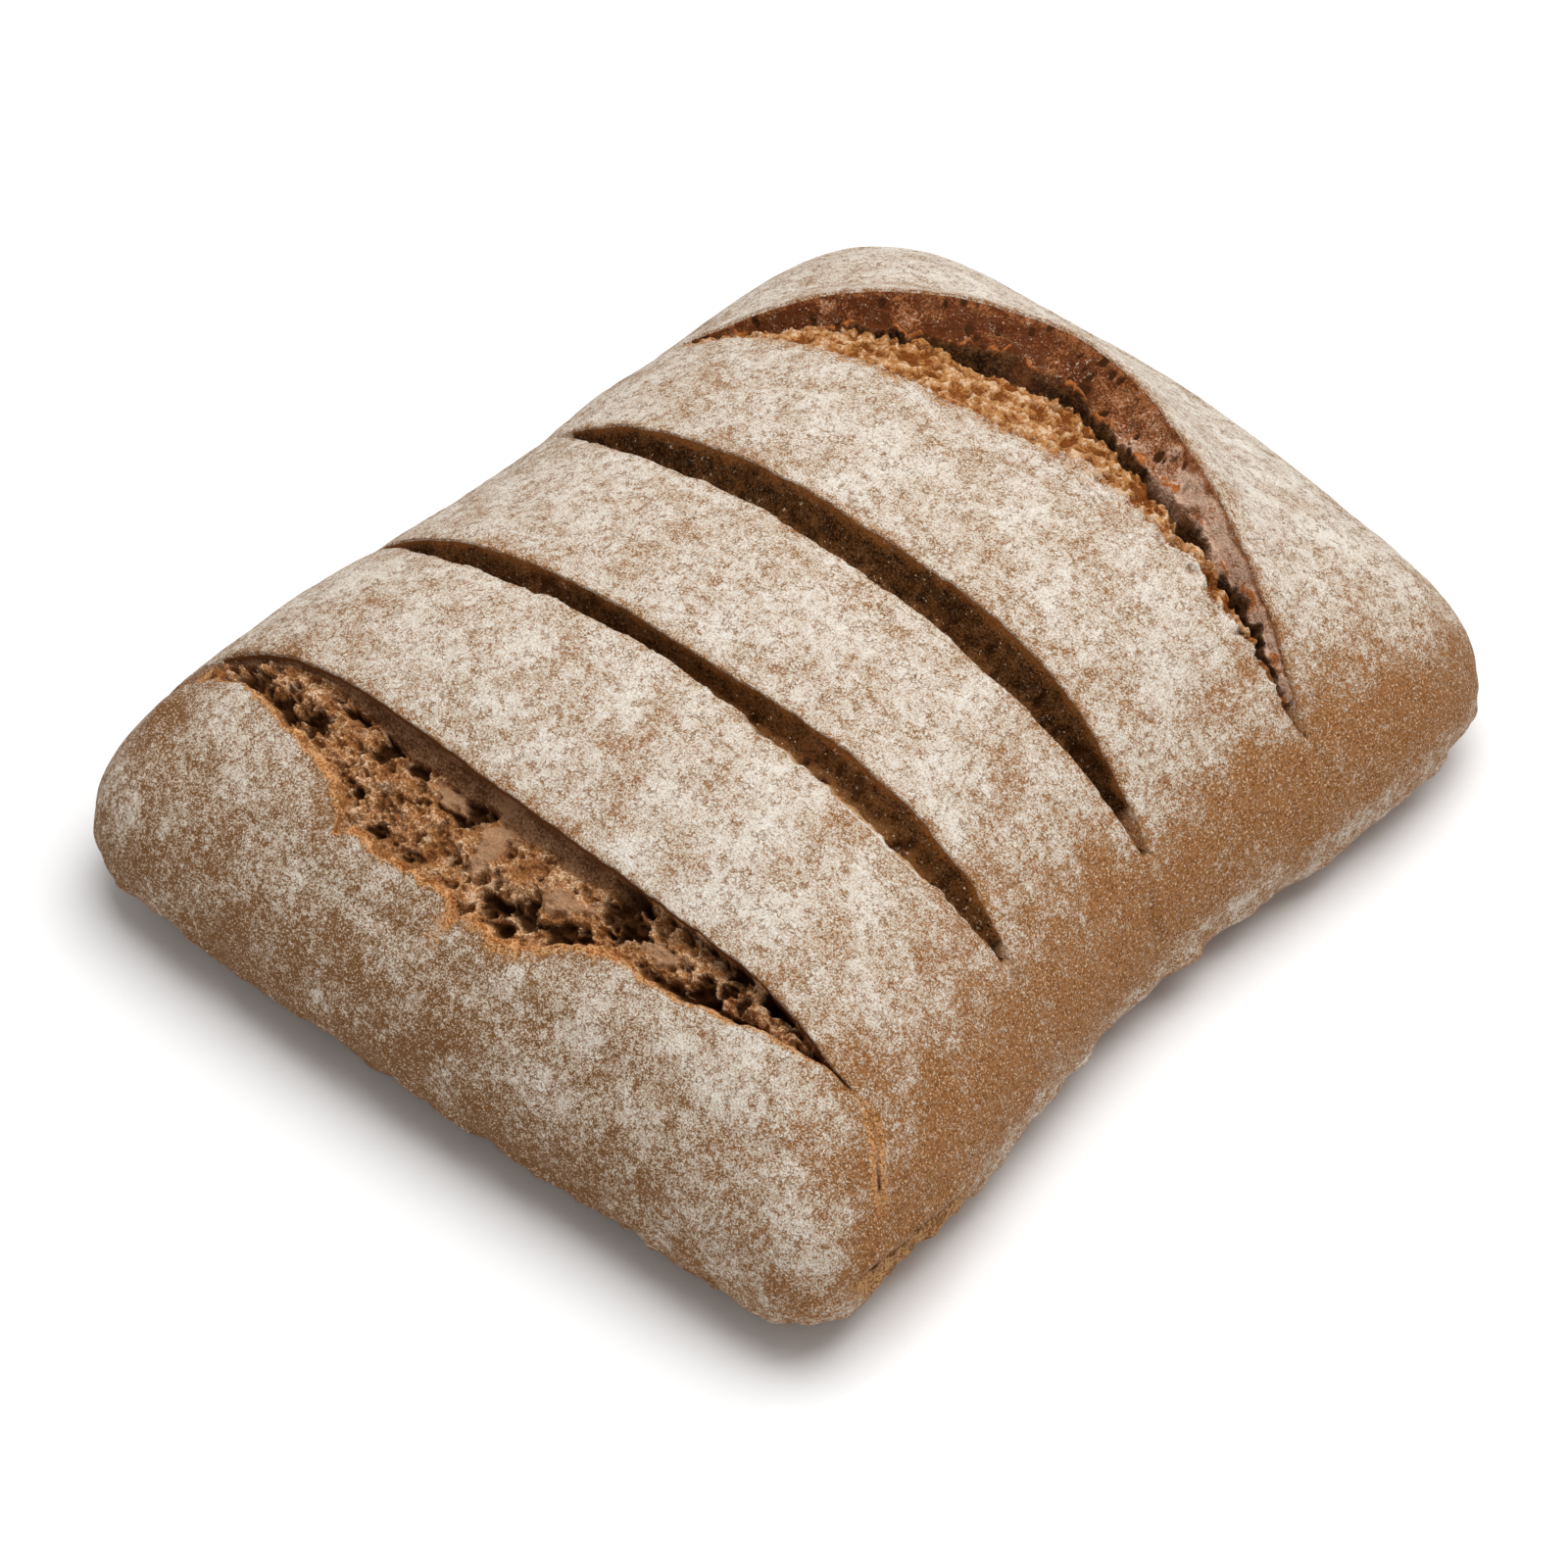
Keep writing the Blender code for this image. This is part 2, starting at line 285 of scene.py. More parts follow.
def pimples(points):
    """Small unevenness of the baked skin."""
    return 0.22 * lumps(points, 9.0, 7.7) + 0.16 * lumps(points, 3.6, 3.1)


def ear_lift(points):
    """Height of the ear over the smooth top, most at the back slash's far lip."""
    across = 1 - ((points[..., 0] - EAR_MIDDLE) / EAR_HALF_WIDTH) ** 2
    behind = np.maximum(points[..., 1] - along(BACK_SLASH.far, points[..., 0]), 0)
    return EAR_HEIGHT * np.maximum(across, 0) * np.exp(-(behind / EAR_REACH) ** 2)


def band_lift(knot, share):
    """Swelling of the crust between two slashes, rolled over a little at each lip."""
    outer = (knot == 0) | (knot == LAST_KNOT)
    swell = np.where(outer, END_BAND_SWELL, BAND_SWELL)
    from_lip = np.where(knot == 0, 1 - share, share)
    roll = LIP_ROLL * np.exp(-from_lip / 0.2)
    roll = roll + np.where(outer, 0, LIP_ROLL * np.exp(-(1 - share) / 0.2))
    return swell * np.sin(np.pi * share) ** 0.7 + roll - LIP_ROLL


def lip_points(a, b, has_ear):
    """Points on a lip; the back slash's far lip is the edge of the ear."""
    base = crown(a, b)
    points = base + crown_normal(a, b) * wave(base)[..., None]
    if has_ear:
        points[..., 2] += ear_lift(base)
    return points


def openness(slash, x):
    """How far the slash is open at x, from 0 at its tips to 1 at its middle."""
    middle = sum(slash.tips) / 2
    half = (slash.tips[1] - slash.tips[0]) / 2
    return np.maximum(1 - np.abs((x - middle) / half) ** 3, 0)


def crust_rows():
    """List the rows as (knot before the row, share of the way to the next knot)."""
    rows = []
    for knot in range(LAST_KNOT + 1):
        if knot % 2:
            rows += [(knot, share) for share in SLASH_SHARES]
            continue
        count = {0: FRONT_ROWS, LAST_KNOT: BACK_ROWS}.get(knot, BAND_ROWS)
        for t in np.arange(count) / count:
            crowding = 0 if knot in (0, LAST_KNOT) else CROWDING
            rows.append((knot, t - crowding * np.sin(2 * np.pi * t) / (2 * np.pi)))
    rows.append((LAST_KNOT, 1.0))
    return np.array(rows)


# The top: its rows run across the loaf and crowd at the lips. The rows inside a slash sink out
# of sight, since a finer piece of crumb lies there.
rows = crust_rows()
row_knot = rows[:, 0].astype(int)
row_share = rows[:, 1]
row_count = len(rows) - 1
column_a = np.linspace(-1, 1, COLUMNS + 1)
lines = lip_lines(column_a)
share = row_share[:, None]
knot = np.broadcast_to(row_knot[:, None], (row_count + 1, COLUMNS + 1))
next_line = lines[np.minimum(row_knot + 1, LAST_KNOT + 1)]
grid_b = lines[row_knot] + (next_line - lines[row_knot]) * share
grid_a = np.broadcast_to(column_a, grid_b.shape)
in_slash = knot % 2 == 1

base = crown(grid_a, grid_b)
normal = crown_normal(grid_a, grid_b)
lift = np.where(in_slash, 0, band_lift(knot, np.broadcast_to(share, knot.shape)))
lift = lift + wave(base)
skin = pimples(base) + 0.07 * lumps(base, 1.7, 9.3)
top = base + normal * lift[..., None]
top[..., 2] += np.where(knot == LAST_KNOT, ear_lift(base), 0)
for number, slash in enumerate(SLASHES):
    first = 2 * number + 1
    near = lip_points(column_a, lines[first], False)
    far = lip_points(column_a, lines[first + 1], slash is BACK_SLASH)
    inward = crown_normal(column_a, (lines[first] + lines[first + 1]) / 2)
    last_row = np.flatnonzero(row_knot == first)[-1] + 1
    top[last_row] = far
    for row in np.flatnonzero(row_knot == first):
        across = row_share[row]
        chord = near + (far - near) * across
        opened = openness(slash, chord[:, 0])
        depth = slash.recess * min(across * (1 - across) * 80, 1) * smooth_step(0, 0.12, opened)
        if slash is FRONT_SLASH:
            wrap = LEFT_WRAP * smooth_step(-70, -80, chord[:, 0]) * min(across * (1 - across) * 20, 1)
            depth = np.maximum(depth, wrap)
        crack = slash.crack[0] * (across == 0.5) * (opened < 0.15) * (chord[:, 0] > 0)
        top[row] = chord - inward * (depth + crack)[:, None]
skin_fade = np.where(in_slash, 0, 1)
top = top + normal * (skin * skin_fade)[..., None]

# The sides: levels that go down from the shoulder, under the widest place and in to the foot.
level_shares = np.arange(1, LEVELS_DOWN + 1) / LEVELS_DOWN
turns = np.radians(np.interp(level_shares, LEVEL_SHARES, LEVEL_TURNS))


def side_points(a, b, turn):
    """Points of the smooth side under the shoulder, by their turn down from the crown."""
    ring = FOOT_SHARE + (1 - FOOT_SHARE) * np.cos(turn)
    z = WIDEST_AT * (1 + np.sin(turn))
    if turn >= 0:
        ring = np.cos(turn) ** (2 / CROWN_POWER)
        z = WIDEST_AT + CROWN_RISE * np.sin(turn) ** (2 / CROWN_POWER)
    x, y = plan(np.arctan2(b, a), ring)
    return np.stack((x, y, np.full_like(x, z)), -1)


RIGHT_SIDE = (60.0, 75.0)
SEAM_ENDS = (-101.0, -56.0)
SEAM_TAPER = 15.0
SEAM_LINE = np.array(((-96, 18.8), (-87, 18.4), (-77, 18.2), (-64, 17.4)))
SEAM_LIP = 0.9
SEAM_DEPTH = 1.9
STRIP_REACH = 15.0
STRIP_ROUGHNESS = 2.5
CRACK_BENDS = 0.9
FOLDS = ((2.5, 27.0, 1.0), (50.5, 31.0, 0.8))
SHOULDER_BUMP = np.array((-82.5, -92.0, 37.5))
SHOULDER_BUMP_HEIGHT = 2.0


def seam_share(points):
    """How much of the torn seam is at each point, and its height over the seam's line."""
    x, y, z = points[..., 0], points[..., 1], points[..., 2]
    ends = smooth_step(SEAM_ENDS[0], SEAM_ENDS[0] + SEAM_TAPER, y)
    ends = ends * smooth_step(-SEAM_ENDS[1], -SEAM_ENDS[1] + SEAM_TAPER, -y)
    waver = 0.8 * jagged(y, 6.0, 41) + 0.4 * jagged(y, 2.2, 42)
    over = z - np.interp(y, SEAM_LINE[:, 0], SEAM_LINE[:, 1]) - waver
    return ends * smooth_step(*RIGHT_SIDE, x), over


def seam_strip(seam, over, roughness):
    """How much of the torn strip is at each point; it reaches lowest at the seam's middle."""
    lowest = -STRIP_REACH * seam - STRIP_ROUGHNESS * roughness
    return smooth_step(0.3, -0.4, over) * smooth_step(lowest, lowest + 4, over)


def side_relief(points):
    """Small forms of the sides: the torn seam, two folds and the rough lower edge."""
    x, y, z = points[..., 0], points[..., 1], points[..., 2]
    right = smooth_step(*RIGHT_SIDE, x)
    seam, over = seam_share(points)
    torn = seam_strip(seam, over, lumps(points, 5.0, 6.4))
    gap = np.exp(-((over + 0.6) / 0.9) ** 2) * (0.7 + 0.9 * lumps(points, 6.0, 3.9))
    strip = torn * (0.5 + 0.5 * lumps(points, 2.4, 4.4)) + gap
    relief = seam * (SEAM_LIP * np.exp(-((over - 1.6) / 1.5) ** 2) - SEAM_DEPTH * strip)
    for fold_y, fold_z, height in FOLDS:
        bend = fold_y + 0.12 * (z - fold_z) + 0.5 * jagged(z, 4.0, 43)
        ridge = np.exp(-((y - bend) / 1.3) ** 2) - 0.9 * np.exp(-((y - bend + 2.2) / 1.2) ** 2)
        relief = relief + height * right * ridge * np.exp(-((z - fold_z) / 7) ** 2)
    from_bump = np.linalg.norm(points - SHOULDER_BUMP, axis=-1)
    relief = relief + SHOULDER_BUMP_HEIGHT * np.exp(-(from_bump / 5) ** 2)
    low = np.exp(-((z - 9) / 6.5) ** 2)
    return relief + low * (1.8 * lumps(points, 7.0, 1.3) + 0.9 * lumps(points, 3.0, 5.1))


def crust_grid():
    """Add a flat grid, pull its rim down level by level and close the foot."""
    bpy.ops.object.select_all(action="DESELECT")
    bpy.ops.mesh.primitive_grid_add(x_subdivisions=COLUMNS, y_subdivisions=row_count, size=1.0)
    grid = bpy.context.object
    grid.name = "crust"
    bpy.ops.object.mode_set(mode="EDIT")
    bpy.ops.mesh.select_mode(type="EDGE")
    bpy.ops.mesh.select_all(action="DESELECT")
    bpy.ops.mesh.select_non_manifold()
    for _ in range(LEVELS_DOWN + len(FOOT_RINGS)):
        bpy.ops.mesh.extrude_region_move(TRANSFORM_OT_translate={"value": (0, 0, -1)})
    bpy.ops.mesh.edge_face_add()
    bpy.ops.mesh.select_all(action="SELECT")
    bpy.ops.mesh.normals_make_consistent(inside=False)
    bpy.ops.object.mode_set(mode="OBJECT")
    return grid


def mesh_places(piece):
    """The vertices of a piece as an array."""
    flat = np.empty(len(piece.data.vertices) * 3)
    piece.data.vertices.foreach_get("co", flat)
    return flat.reshape(-1, 3)


def place_mesh(piece, points):
    """Put the vertices of a piece, given in millimetres of the loaf's form, into the frame."""
    placed = (points - FORM_MIDDLE) * MM
    placed = np.clip(placed, np.array(cad_low), np.array(cad_high))
    piece.data.vertices.foreach_set("co", placed.ravel())
    piece.data.update()


def paint(piece, name, values):
    """Store a number for each vertex, for the material to read."""
    layer = piece.data.attributes.new(name, "FLOAT", "POINT")
    layer.data.foreach_set("value", np.ascontiguousarray(values, dtype=np.float32))


crust = crust_grid()
flat = mesh_places(crust)
column = np.rint((flat[:, 0] + 0.5) * COLUMNS).astype(int)
row = np.rint((flat[:, 1] + 0.5) * row_count).astype(int)
level = np.rint(-flat[:, 2]).astype(int)
points = top[row, column]
vert_share = row_share[row]
vert_knot = knot[row, column]
in_strip = in_slash[row, column] & (vert_share > 0)
mid_row = in_strip & (np.abs(vert_share - 0.5) < 0.1) & (points[:, 0] > 0)
crack_depth = mid_row * np.where(vert_share == 0.5, 1.2, 0.4)
strip_shape = np.minimum(vert_share * (1 - vert_share) * 20, 1) * in_strip
crack_end = np.array([slash.crack[1] for slash in SLASHES])[np.clip((vert_knot - 1) // 2, 0, 3)]
skin_out = np.stack((grid_a[row, column], grid_b[row, column], np.zeros(len(flat))), -1)
skin_out = skin_out / np.maximum(np.linalg.norm(skin_out, axis=-1, keepdims=True), 0.01)
crack_places = top[np.flatnonzero(in_slash[:, 0] & (row_share == 0.5)), COLUMNS, 1]
for number, turn in enumerate(turns, 1):
    here = level == number
    a = grid_a[row[here], column[here]]
    b = grid_b[row[here], column[here]]
    smooth = side_points(a, b, turn)
    fade = (turn + np.pi / 2) / (SHOULDER_TURN + np.pi / 2)
    z = smooth[:, 2]
    near_crack = sum(np.exp(-((smooth[:, 1] - place) / 2.5) ** 2) for place in crack_places)
    smooth[:, 1] += CRACK_BENDS * near_crack * jagged(z, 3.0, 91) * (smooth[:, 0] > 60)
    swelling = lift[row[here], column[here]] * fade + side_relief(smooth)
    swelling = swelling + pimples(smooth) * (0.3 + 0.7 * fade)
    past = smooth_step(crack_end[here] - 2, crack_end[here] + 2, z)
    broken = np.clip(0.6 + 0.9 * jagged(z, 4.0, 93), 0.1, 1)
    swelling = swelling - crack_depth[here] * past * broken
    wrap = (vert_knot[here] == 1) * (smooth[:, 0] < 0) * smooth_step(29, 34, z)
    swelling = swelling - LEFT_WRAP * wrap * strip_shape[here]
    points[here] = smooth + skin_out[here] * swelling[:, None]
for number, ring in enumerate(FOOT_RINGS, len(turns) + 1):
    here = level == number
    x, y = plan(np.arctan2(grid_b[row[here], column[here]], grid_a[row[here], column[here]]), ring)
    points[here] = np.stack((x, y, np.zeros_like(x)), -1)
points[:, 2] = np.maximum(points[:, 2], 0)
place_mesh(crust, points)
bpy.ops.object.shade_smooth()

# The flour: its lower edge along the right side, and how much lies on each side by height.
RIGHT_EDGE = np.array(((-106, 15), (-95, 24), (-80, 33), (-62, 36), (-26, 37), (3, 33), (28, 35),
                       (50, 38), (64, 34), (92, 24), (110, 20)))
RIGHT_FLOUR = ((-5, 0, 4, 9, 16, 25), (-0.30, -0.06, 0.16, 0.35, 0.49, 0.59))
FRONT_FLOUR = ((8, 14, 20, 28, 40, 50, 58), (-0.14, 0.00, 0.14, 0.27, 0.36, 0.46, 0.59))
OTHER_FLOUR = ((6, 14, 24, 34), (0.06, 0.25, 0.47, 0.59))
x, y, z = points.T
angle = np.arctan2(y, x * HALF_LENGTH / HALF_WIDTH)
right_share = smooth_step(0.45, 0.85, np.cos(angle))
front_share = smooth_step(0.45, 0.85, -np.sin(angle)) * (1 - right_share)
patch = lumps(points, 13.0, 2.2)
fine_patch = lumps(points, 4.5, 6.4)
over_edge = z - np.interp(y, RIGHT_EDGE[:, 0], RIGHT_EDGE[:, 1]) + 5 * patch + 2 * fine_patch
flour = right_share * np.interp(over_edge, *RIGHT_FLOUR)
front_flour = np.interp(z + 4 * patch, *FRONT_FLOUR) + 0.10 * smooth_step(10, 60, x)
flour = flour + front_share * front_flour
flour = flour + (1 - right_share - front_share) * np.interp(z + 4 * patch, *OTHER_FLOUR)
under = right_share * smooth_step(22, 16, z + 2 * fine_patch) * smooth_step(2, 8, z)
flour = np.maximum(flour, 0.36 * under)
flour = flour + 0.10 * smooth_step(65, 90, y) * smooth_step(30, 45, z)
flour = flour - 0.12 * smooth_step(-70, -86, x) * smooth_step(30, 38, z)
flour = flour + 0.09 * patch + 0.06 * fine_patch
near_bump = np.exp(-(np.linalg.norm(points - SHOULDER_BUMP, axis=-1) / 6) ** 2)
flour = flour - 0.4 * near_bump
on_top = level == 0
toast = np.zeros(len(flat))
warm = np.zeros(len(flat))
for number, slash in enumerate(SLASHES):
    past_far = points[:, 1] - lip_y(slash, 1, points[:, 0])
    before_near = lip_y(slash, -1, points[:, 0]) - points[:, 1]
    opened = smooth_step(0.0, 0.2, openness(slash, points[:, 0])) * on_top
    far_rim = opened * (past_far > -0.6) * (past_far < 9)
    near_rim = opened * (before_near > -0.6) * (before_near < 12)
    past_far = np.maximum(past_far, 0)
    before_near = np.maximum(before_near, 0)
    flour = flour - 0.22 * far_rim * np.exp(-(past_far / 1.5) ** 2)
    toast = np.maximum(toast, 0.4 * far_rim * np.exp(-(past_far / 0.3) ** 2))
    if slash is FRONT_SLASH:
        smear_x = -2 - 0.2 * before_near
        smear = np.exp(-((points[:, 0] - smear_x) / 2.2) ** 2) * np.exp(-(before_near / 12) ** 2)
        torn_width = 0.35 + 1.6 * np.exp(-((points[:, 0] - 14) / 15) ** 2)
        torn_width = np.maximum(torn_width + 0.6 * jagged(points[:, 0], 2.5, 81), 0.15)
        edge = np.exp(-(before_near / torn_width) ** 2)
        warm = np.maximum(warm, near_rim * np.maximum(edge, 0.7 * smear))
        flour = flour - near_rim * (0.60 * edge + 0.22 * smear)
    elif slash is BACK_SLASH:
        golden = smooth_step(25, -10, points[:, 0]) * np.exp(-(before_near / 1.5) ** 2)
        warm = np.maximum(warm, near_rim * golden)
        flour = flour - 0.25 * near_rim * golden
    else:
        flour = flour - 0.12 * near_rim * np.exp(-(before_near / 1.2) ** 2)
beyond_tip = in_strip & (vert_knot == 1) & (x > FRONT_SLASH.tips[1]) & (z > FRONT_SLASH.crack[1] - 3)
warm = np.maximum(warm, 0.55 * beyond_tip)
flour = flour - 0.22 * beyond_tip
slash_open = np.zeros(len(flat))
for number, slash in enumerate(SLASHES):
    mine = in_strip & on_top & (vert_knot == 2 * number + 1)
    slash_open = np.where(mine, smooth_step(0.02, 0.10, openness(slash, points[:, 0])), slash_open)
wrapped = (vert_knot == 1) * (x < -60) * smooth_step(-72, -80, np.where(on_top, x, -90))
wrapped = wrapped * smooth_step(29, 33, z) * strip_shape
seam, over = seam_share(points)
seam = seam * ~on_top
torn_strip = smooth_step(0, 0.25, seam) * seam_strip(seam, over, fine_patch)
crumbly = np.maximum(np.maximum(slash_open, wrapped), torn_strip)
shade = np.exp(-((over + 0.4) / 1.0) ** 2) * np.clip(0.9 + 2.2 * lumps(points, 6.0, 3.9), 0, 1.5)
shade = shade + 0.5 * torn_strip * smooth_step(0.1, 0.4, fine_patch)
# Painted shade: deep marks the crust in the slash strips, the seam's gap with its torn holes and the
# crack past the front slash's tip; the finish paints it near black.
deep = np.maximum(slash_open * (np.abs(vert_share - 0.5) < 0.45), seam * shade)
past_tip = mid_row & (slash_open < 0.5) & (z > crack_end)
past_tip = past_tip * np.where(vert_share == 0.5, 1.0, 0.85) * np.where(vert_knot == 1, 1.2, 0.45)
deep = np.maximum(deep, past_tip * np.clip(0.75 + 0.8 * jagged(z, 4.5, 93), 0, 1.2))
dusky = np.clip(1 - right_share, 0, 1) * smooth_step(60, 38, z)
dusky = np.maximum(dusky, z < 0.5)
paints = {
    "flour": flour,
    "toast": toast,
    "warm": warm,
    "crumbly": crumbly,
    "deep": deep,
    "dusky": dusky,
}
for name, values in paints.items():
    paint(crust, name, values)


def feed(tree, kind, inputs, **settings):
    """Add a shader node, set it, and feed its inputs with values or other nodes' outputs."""
    made = tree.nodes.new(kind)
    for name, value in settings.items():
        setattr(made, name, value)
    for name, value in inputs.items():
        if isinstance(value, bpy.types.NodeSocket):
            tree.links.new(value, made.inputs[name])
        else:
            made.inputs[name].default_value = value
    return made


def grain(tree, where, size_mm, detail=3.0, roughness=0.6):
    """Noise with features of the given size in millimetres."""
    inputs = {"Vector": where, "Scale": 1 / (size_mm * MM), "Detail": detail, "Roughness": roughness}
    return feed(tree, "ShaderNodeTexNoise", inputs).outputs["Fac"]


def reach(tree, value, low, high, to_low=0.0, to_high=1.0):
    """Stretch a value from one range to another, smoothly."""
    inputs = {"Value": value, "From Min": low, "From Max": high, "To Min": to_low, "To Max": to_high}
    return feed(tree, "ShaderNodeMapRange", inputs, interpolation_type="SMOOTHSTEP").outputs["Result"]


def blend_colour(tree, share, first, second):
    """Mix two colours, each a value or a node's output."""
    made = feed(tree, "ShaderNodeMix", {}, data_type="RGBA")
    for socket, value in ((made.inputs[0], share), (made.inputs[6], first), (made.inputs[7], second)):
        if isinstance(value, bpy.types.NodeSocket):
            tree.links.new(value, socket)
        else:
            socket.default_value = value
    return made.outputs[2]


def sums(tree, *terms):
    """Add up terms of (socket, factor), or plain numbers."""
    total = 0.0
    for term in terms:
        if isinstance(term, tuple):
            inputs = {0: term[0], 1: term[1], 2: total}
            total = feed(tree, "ShaderNodeMath", inputs, operation="MULTIPLY_ADD").outputs[0]
        elif isinstance(total, float):
            total += term
        else:
            total = feed(tree, "ShaderNodeMath", {0: total, 1: term}, operation="ADD").outputs[0]
    return total


def product(tree, first, second, clamp=False):
    """Multiply two numbers, each a value or a node's output."""
    inputs = {0: first, 1: second}
    return feed(tree, "ShaderNodeMath", inputs, operation="MULTIPLY", use_clamp=clamp).outputs[0]


def painted(tree, name):
    """Read one of the numbers stored on the piece."""
    return feed(tree, "ShaderNodeAttribute", {}, attribute_name=name).outputs["Fac"]


def frayed(tree, name, fine, fray, low, high):
    """A number stored on the piece as a share from 0 to 1, its edge frayed by fine noise."""
    return reach(tree, sums(tree, (painted(tree, name), 1.0), (fine, fray), -fray / 2), low, high)


def new_finish(name):
    """A new material; returns it, its tree, its shader and object coordinates."""
    material = bpy.data.materials.new(name)
    material.use_nodes = True
    tree = material.node_tree
    shader = tree.nodes["Principled BSDF"]
    where = feed(tree, "ShaderNodeTexCoord", {}).outputs["Object"]
    return material, tree, shader, where


def lay_finish(tree, shader, colour, gloss, relief, strength, relief_mm):
    """Give a finish its colour, its gloss and its smallest relief."""
    tree.links.new(colour, shader.inputs["Base Color"])
    shader.inputs["Specular IOR Level"].default_value = gloss
    inputs = {"Strength": strength, "Distance": relief_mm * MM, "Height": relief}
    bump = feed(tree, "ShaderNodeBump", inputs)
    tree.links.new(bump.outputs["Normal"], shader.inputs["Normal"])


FLOUR_THIN = (0.50, 0.365, 0.255, 1)
FLOUR = (0.715, 0.630, 0.530, 1)
FLOUR_THICK = (0.86, 0.805, 0.730, 1)
SPLIT_SHADE = (0.19, 0.100, 0.044, 1)


def flour_over(tree, where, ground, density):
    """Dust flour over a ground colour; returns the colour and the flour's amount."""
    fine = grain(tree, where, 0.36, 2.0, 0.75)
    middle = grain(tree, where, 1.4, 3.0, 0.65)
    broad = grain(tree, where, 8.0, 2.0, 0.55)
    inputs = {"Vector": where, "Scale": 900.0, "Detail": 1.0}
    bend = feed(tree, "ShaderNodeTexNoise", inputs).outputs["Color"]
    inputs = {0: bend, 1: (0.0022, 0.0022, 0.0022), 2: where}
    bent = feed(tree, "ShaderNodeVectorMath", inputs, operation="MULTIPLY_ADD").outputs[0]
    inputs = {"Vector": bent, "Scale": 1 / (1.25 * MM)}
    edges = feed(tree, "ShaderNodeTexVoronoi", inputs, feature="DISTANCE_TO_EDGE").outputs["Distance"]
    split = reach(tree, edges, 0.02, 0.15, 1.0, 0.0)
    here = reach(tree, grain(tree, where, 2.2, 2.0, 0.6), 0.45, 0.60)
    split = product(tree, split, here)
    patches = product(tree, sums(tree, (middle, 1.0), -0.5), sums(tree, (density, -1.1), 1.5))
    terms = ((density, 1.0), (fine, 2.2), (patches, 1.0), (broad, 0.9), (split, -0.28), -1.49)
    amount = sums(tree, *terms)
    colour = blend_colour(tree, reach(tree, amount, 0.22, 0.46), ground, FLOUR_THIN)
    colour = blend_colour(tree, reach(tree, amount, 0.40, 0.76), colour, FLOUR)
    colour = blend_colour(tree, reach(tree, amount, 0.72, 1.12), colour, FLOUR_THICK)
    split = product(tree, split, sums(tree, (density, 0.2), 0.38), clamp=True)
    return blend_colour(tree, split, colour, SPLIT_SHADE), amount


BARE_CRUST = (0.39, 0.170, 0.056, 1)
DARK_CRUST = (0.205, 0.078, 0.020, 1)
SPECK = (0.72, 0.53, 0.36, 1)
DUSKY_CRUST = (0.165, 0.074, 0.024, 1)
TORN_SHADE = (0.26, 0.085, 0.018, 1)
TOASTED = (0.16, 0.055, 0.015, 1)
TORN_GOLD = (0.64, 0.320, 0.120, 1)
CRUMB_DARK = (0.200, 0.070, 0.018, 1)
CRUMB = (0.37, 0.158, 0.054, 1)
CRUMB_PALE = (0.58, 0.320, 0.142, 1)
# Painted shade: the near-black colour laid in bubbles, pits, grooves, cracks and gaps, where shade
# falls.
PAINTED_HOLLOW_SHADE = (0.055, 0.018, 0.004, 1)


def crust_finish():
    """Brown crust with bran specks under a crackled, uneven dusting of flour, with painted shade in
    its slash strips, the seam's gap and its cracks.
    """
    material, tree, shader, where = new_finish("floured_crust")
    fine = grain(tree, where, 0.55, 2.0, 0.7)
    mottle = grain(tree, where, 2.2, 3.0, 0.65)
    tone = reach(tree, sums(tree, (fine, 1.2), (mottle, 0.5)), 0.70, 0.96)
    brown = blend_colour(tree, tone, DARK_CRUST, BARE_CRUST)
    dusky = sums(tree, (painted(tree, "dusky"), 0.75))
    brown = blend_colour(tree, dusky, brown, DUSKY_CRUST)
    torn = blend_colour(tree, tone, TORN_SHADE, TORN_GOLD)
    brown = blend_colour(tree, frayed(tree, "warm", fine, 0.8, 0.15, 0.7), brown, torn)
    specks = reach(tree, grain(tree, where, 0.42, 1.0, 0.5), 0.61, 0.67)
    brown = blend_colour(tree, specks, brown, SPECK)
    colour, amount = flour_over(tree, where, brown, painted(tree, "flour"))
    colour = blend_colour(tree, frayed(tree, "toast", fine, 0.9, 0.2, 0.8), colour, TOASTED)
    crumb = blend_colour(tree, tone, CRUMB_DARK, CRUMB_PALE)
    colour = blend_colour(tree, painted(tree, "crumbly"), colour, crumb)
    # Painted shade from deep, in the slash strips, the seam's gap and the cracks.
    colour = blend_colour(tree, frayed(tree, "deep", fine, 0.6, 0.3, 0.8), colour, PAINTED_HOLLOW_SHADE)
    tree.links.new(reach(tree, amount, 0.1, 0.6, 0.6, 0.95), shader.inputs["Roughness"])
    relief = sums(tree, (amount, 0.7), (fine, 0.7), (mottle, 0.6))
    lay_finish(tree, shader, colour, 0.08, relief, 0.6, 0.6)
    return material


crust.data.materials.append(crust_finish())
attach(crust, "root")
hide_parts("loaf")

# The front slash: the crust has torn open over the dough, which baked to a spongy brown crumb
# with round bubbles. Under its far lip the knife's smooth cut still shows, dark and glossy.
FRONT_CELLS = (540, 90)


def slash_slab(name, columns, rows):
    """Add a fine flat grid and give it thickness, so that it is closed."""
    bpy.ops.object.select_all(action="DESELECT")
    bpy.ops.mesh.primitive_grid_add(x_subdivisions=columns, y_subdivisions=rows, size=1.0)
    slab = bpy.context.object
    slab.name = name
    solid = slab.modifiers.new("thickness", "SOLIDIFY")
    solid.thickness = 0.1
    solid.offset = -1
    bpy.ops.object.modifier_apply(modifier="thickness")
    flat = mesh_places(slab)
    column = np.rint((flat[:, 0] + 0.5) * columns).astype(int)
    row = np.rint((flat[:, 1] + 0.5) * rows).astype(int)
    return slab, column, row, flat[:, 2] < -0.05


SLAB_OVERLAP = 0.6
SLAB_THICKNESS = 1.2
TIP_INSET = 0.5
RIM_INSET = 0.985


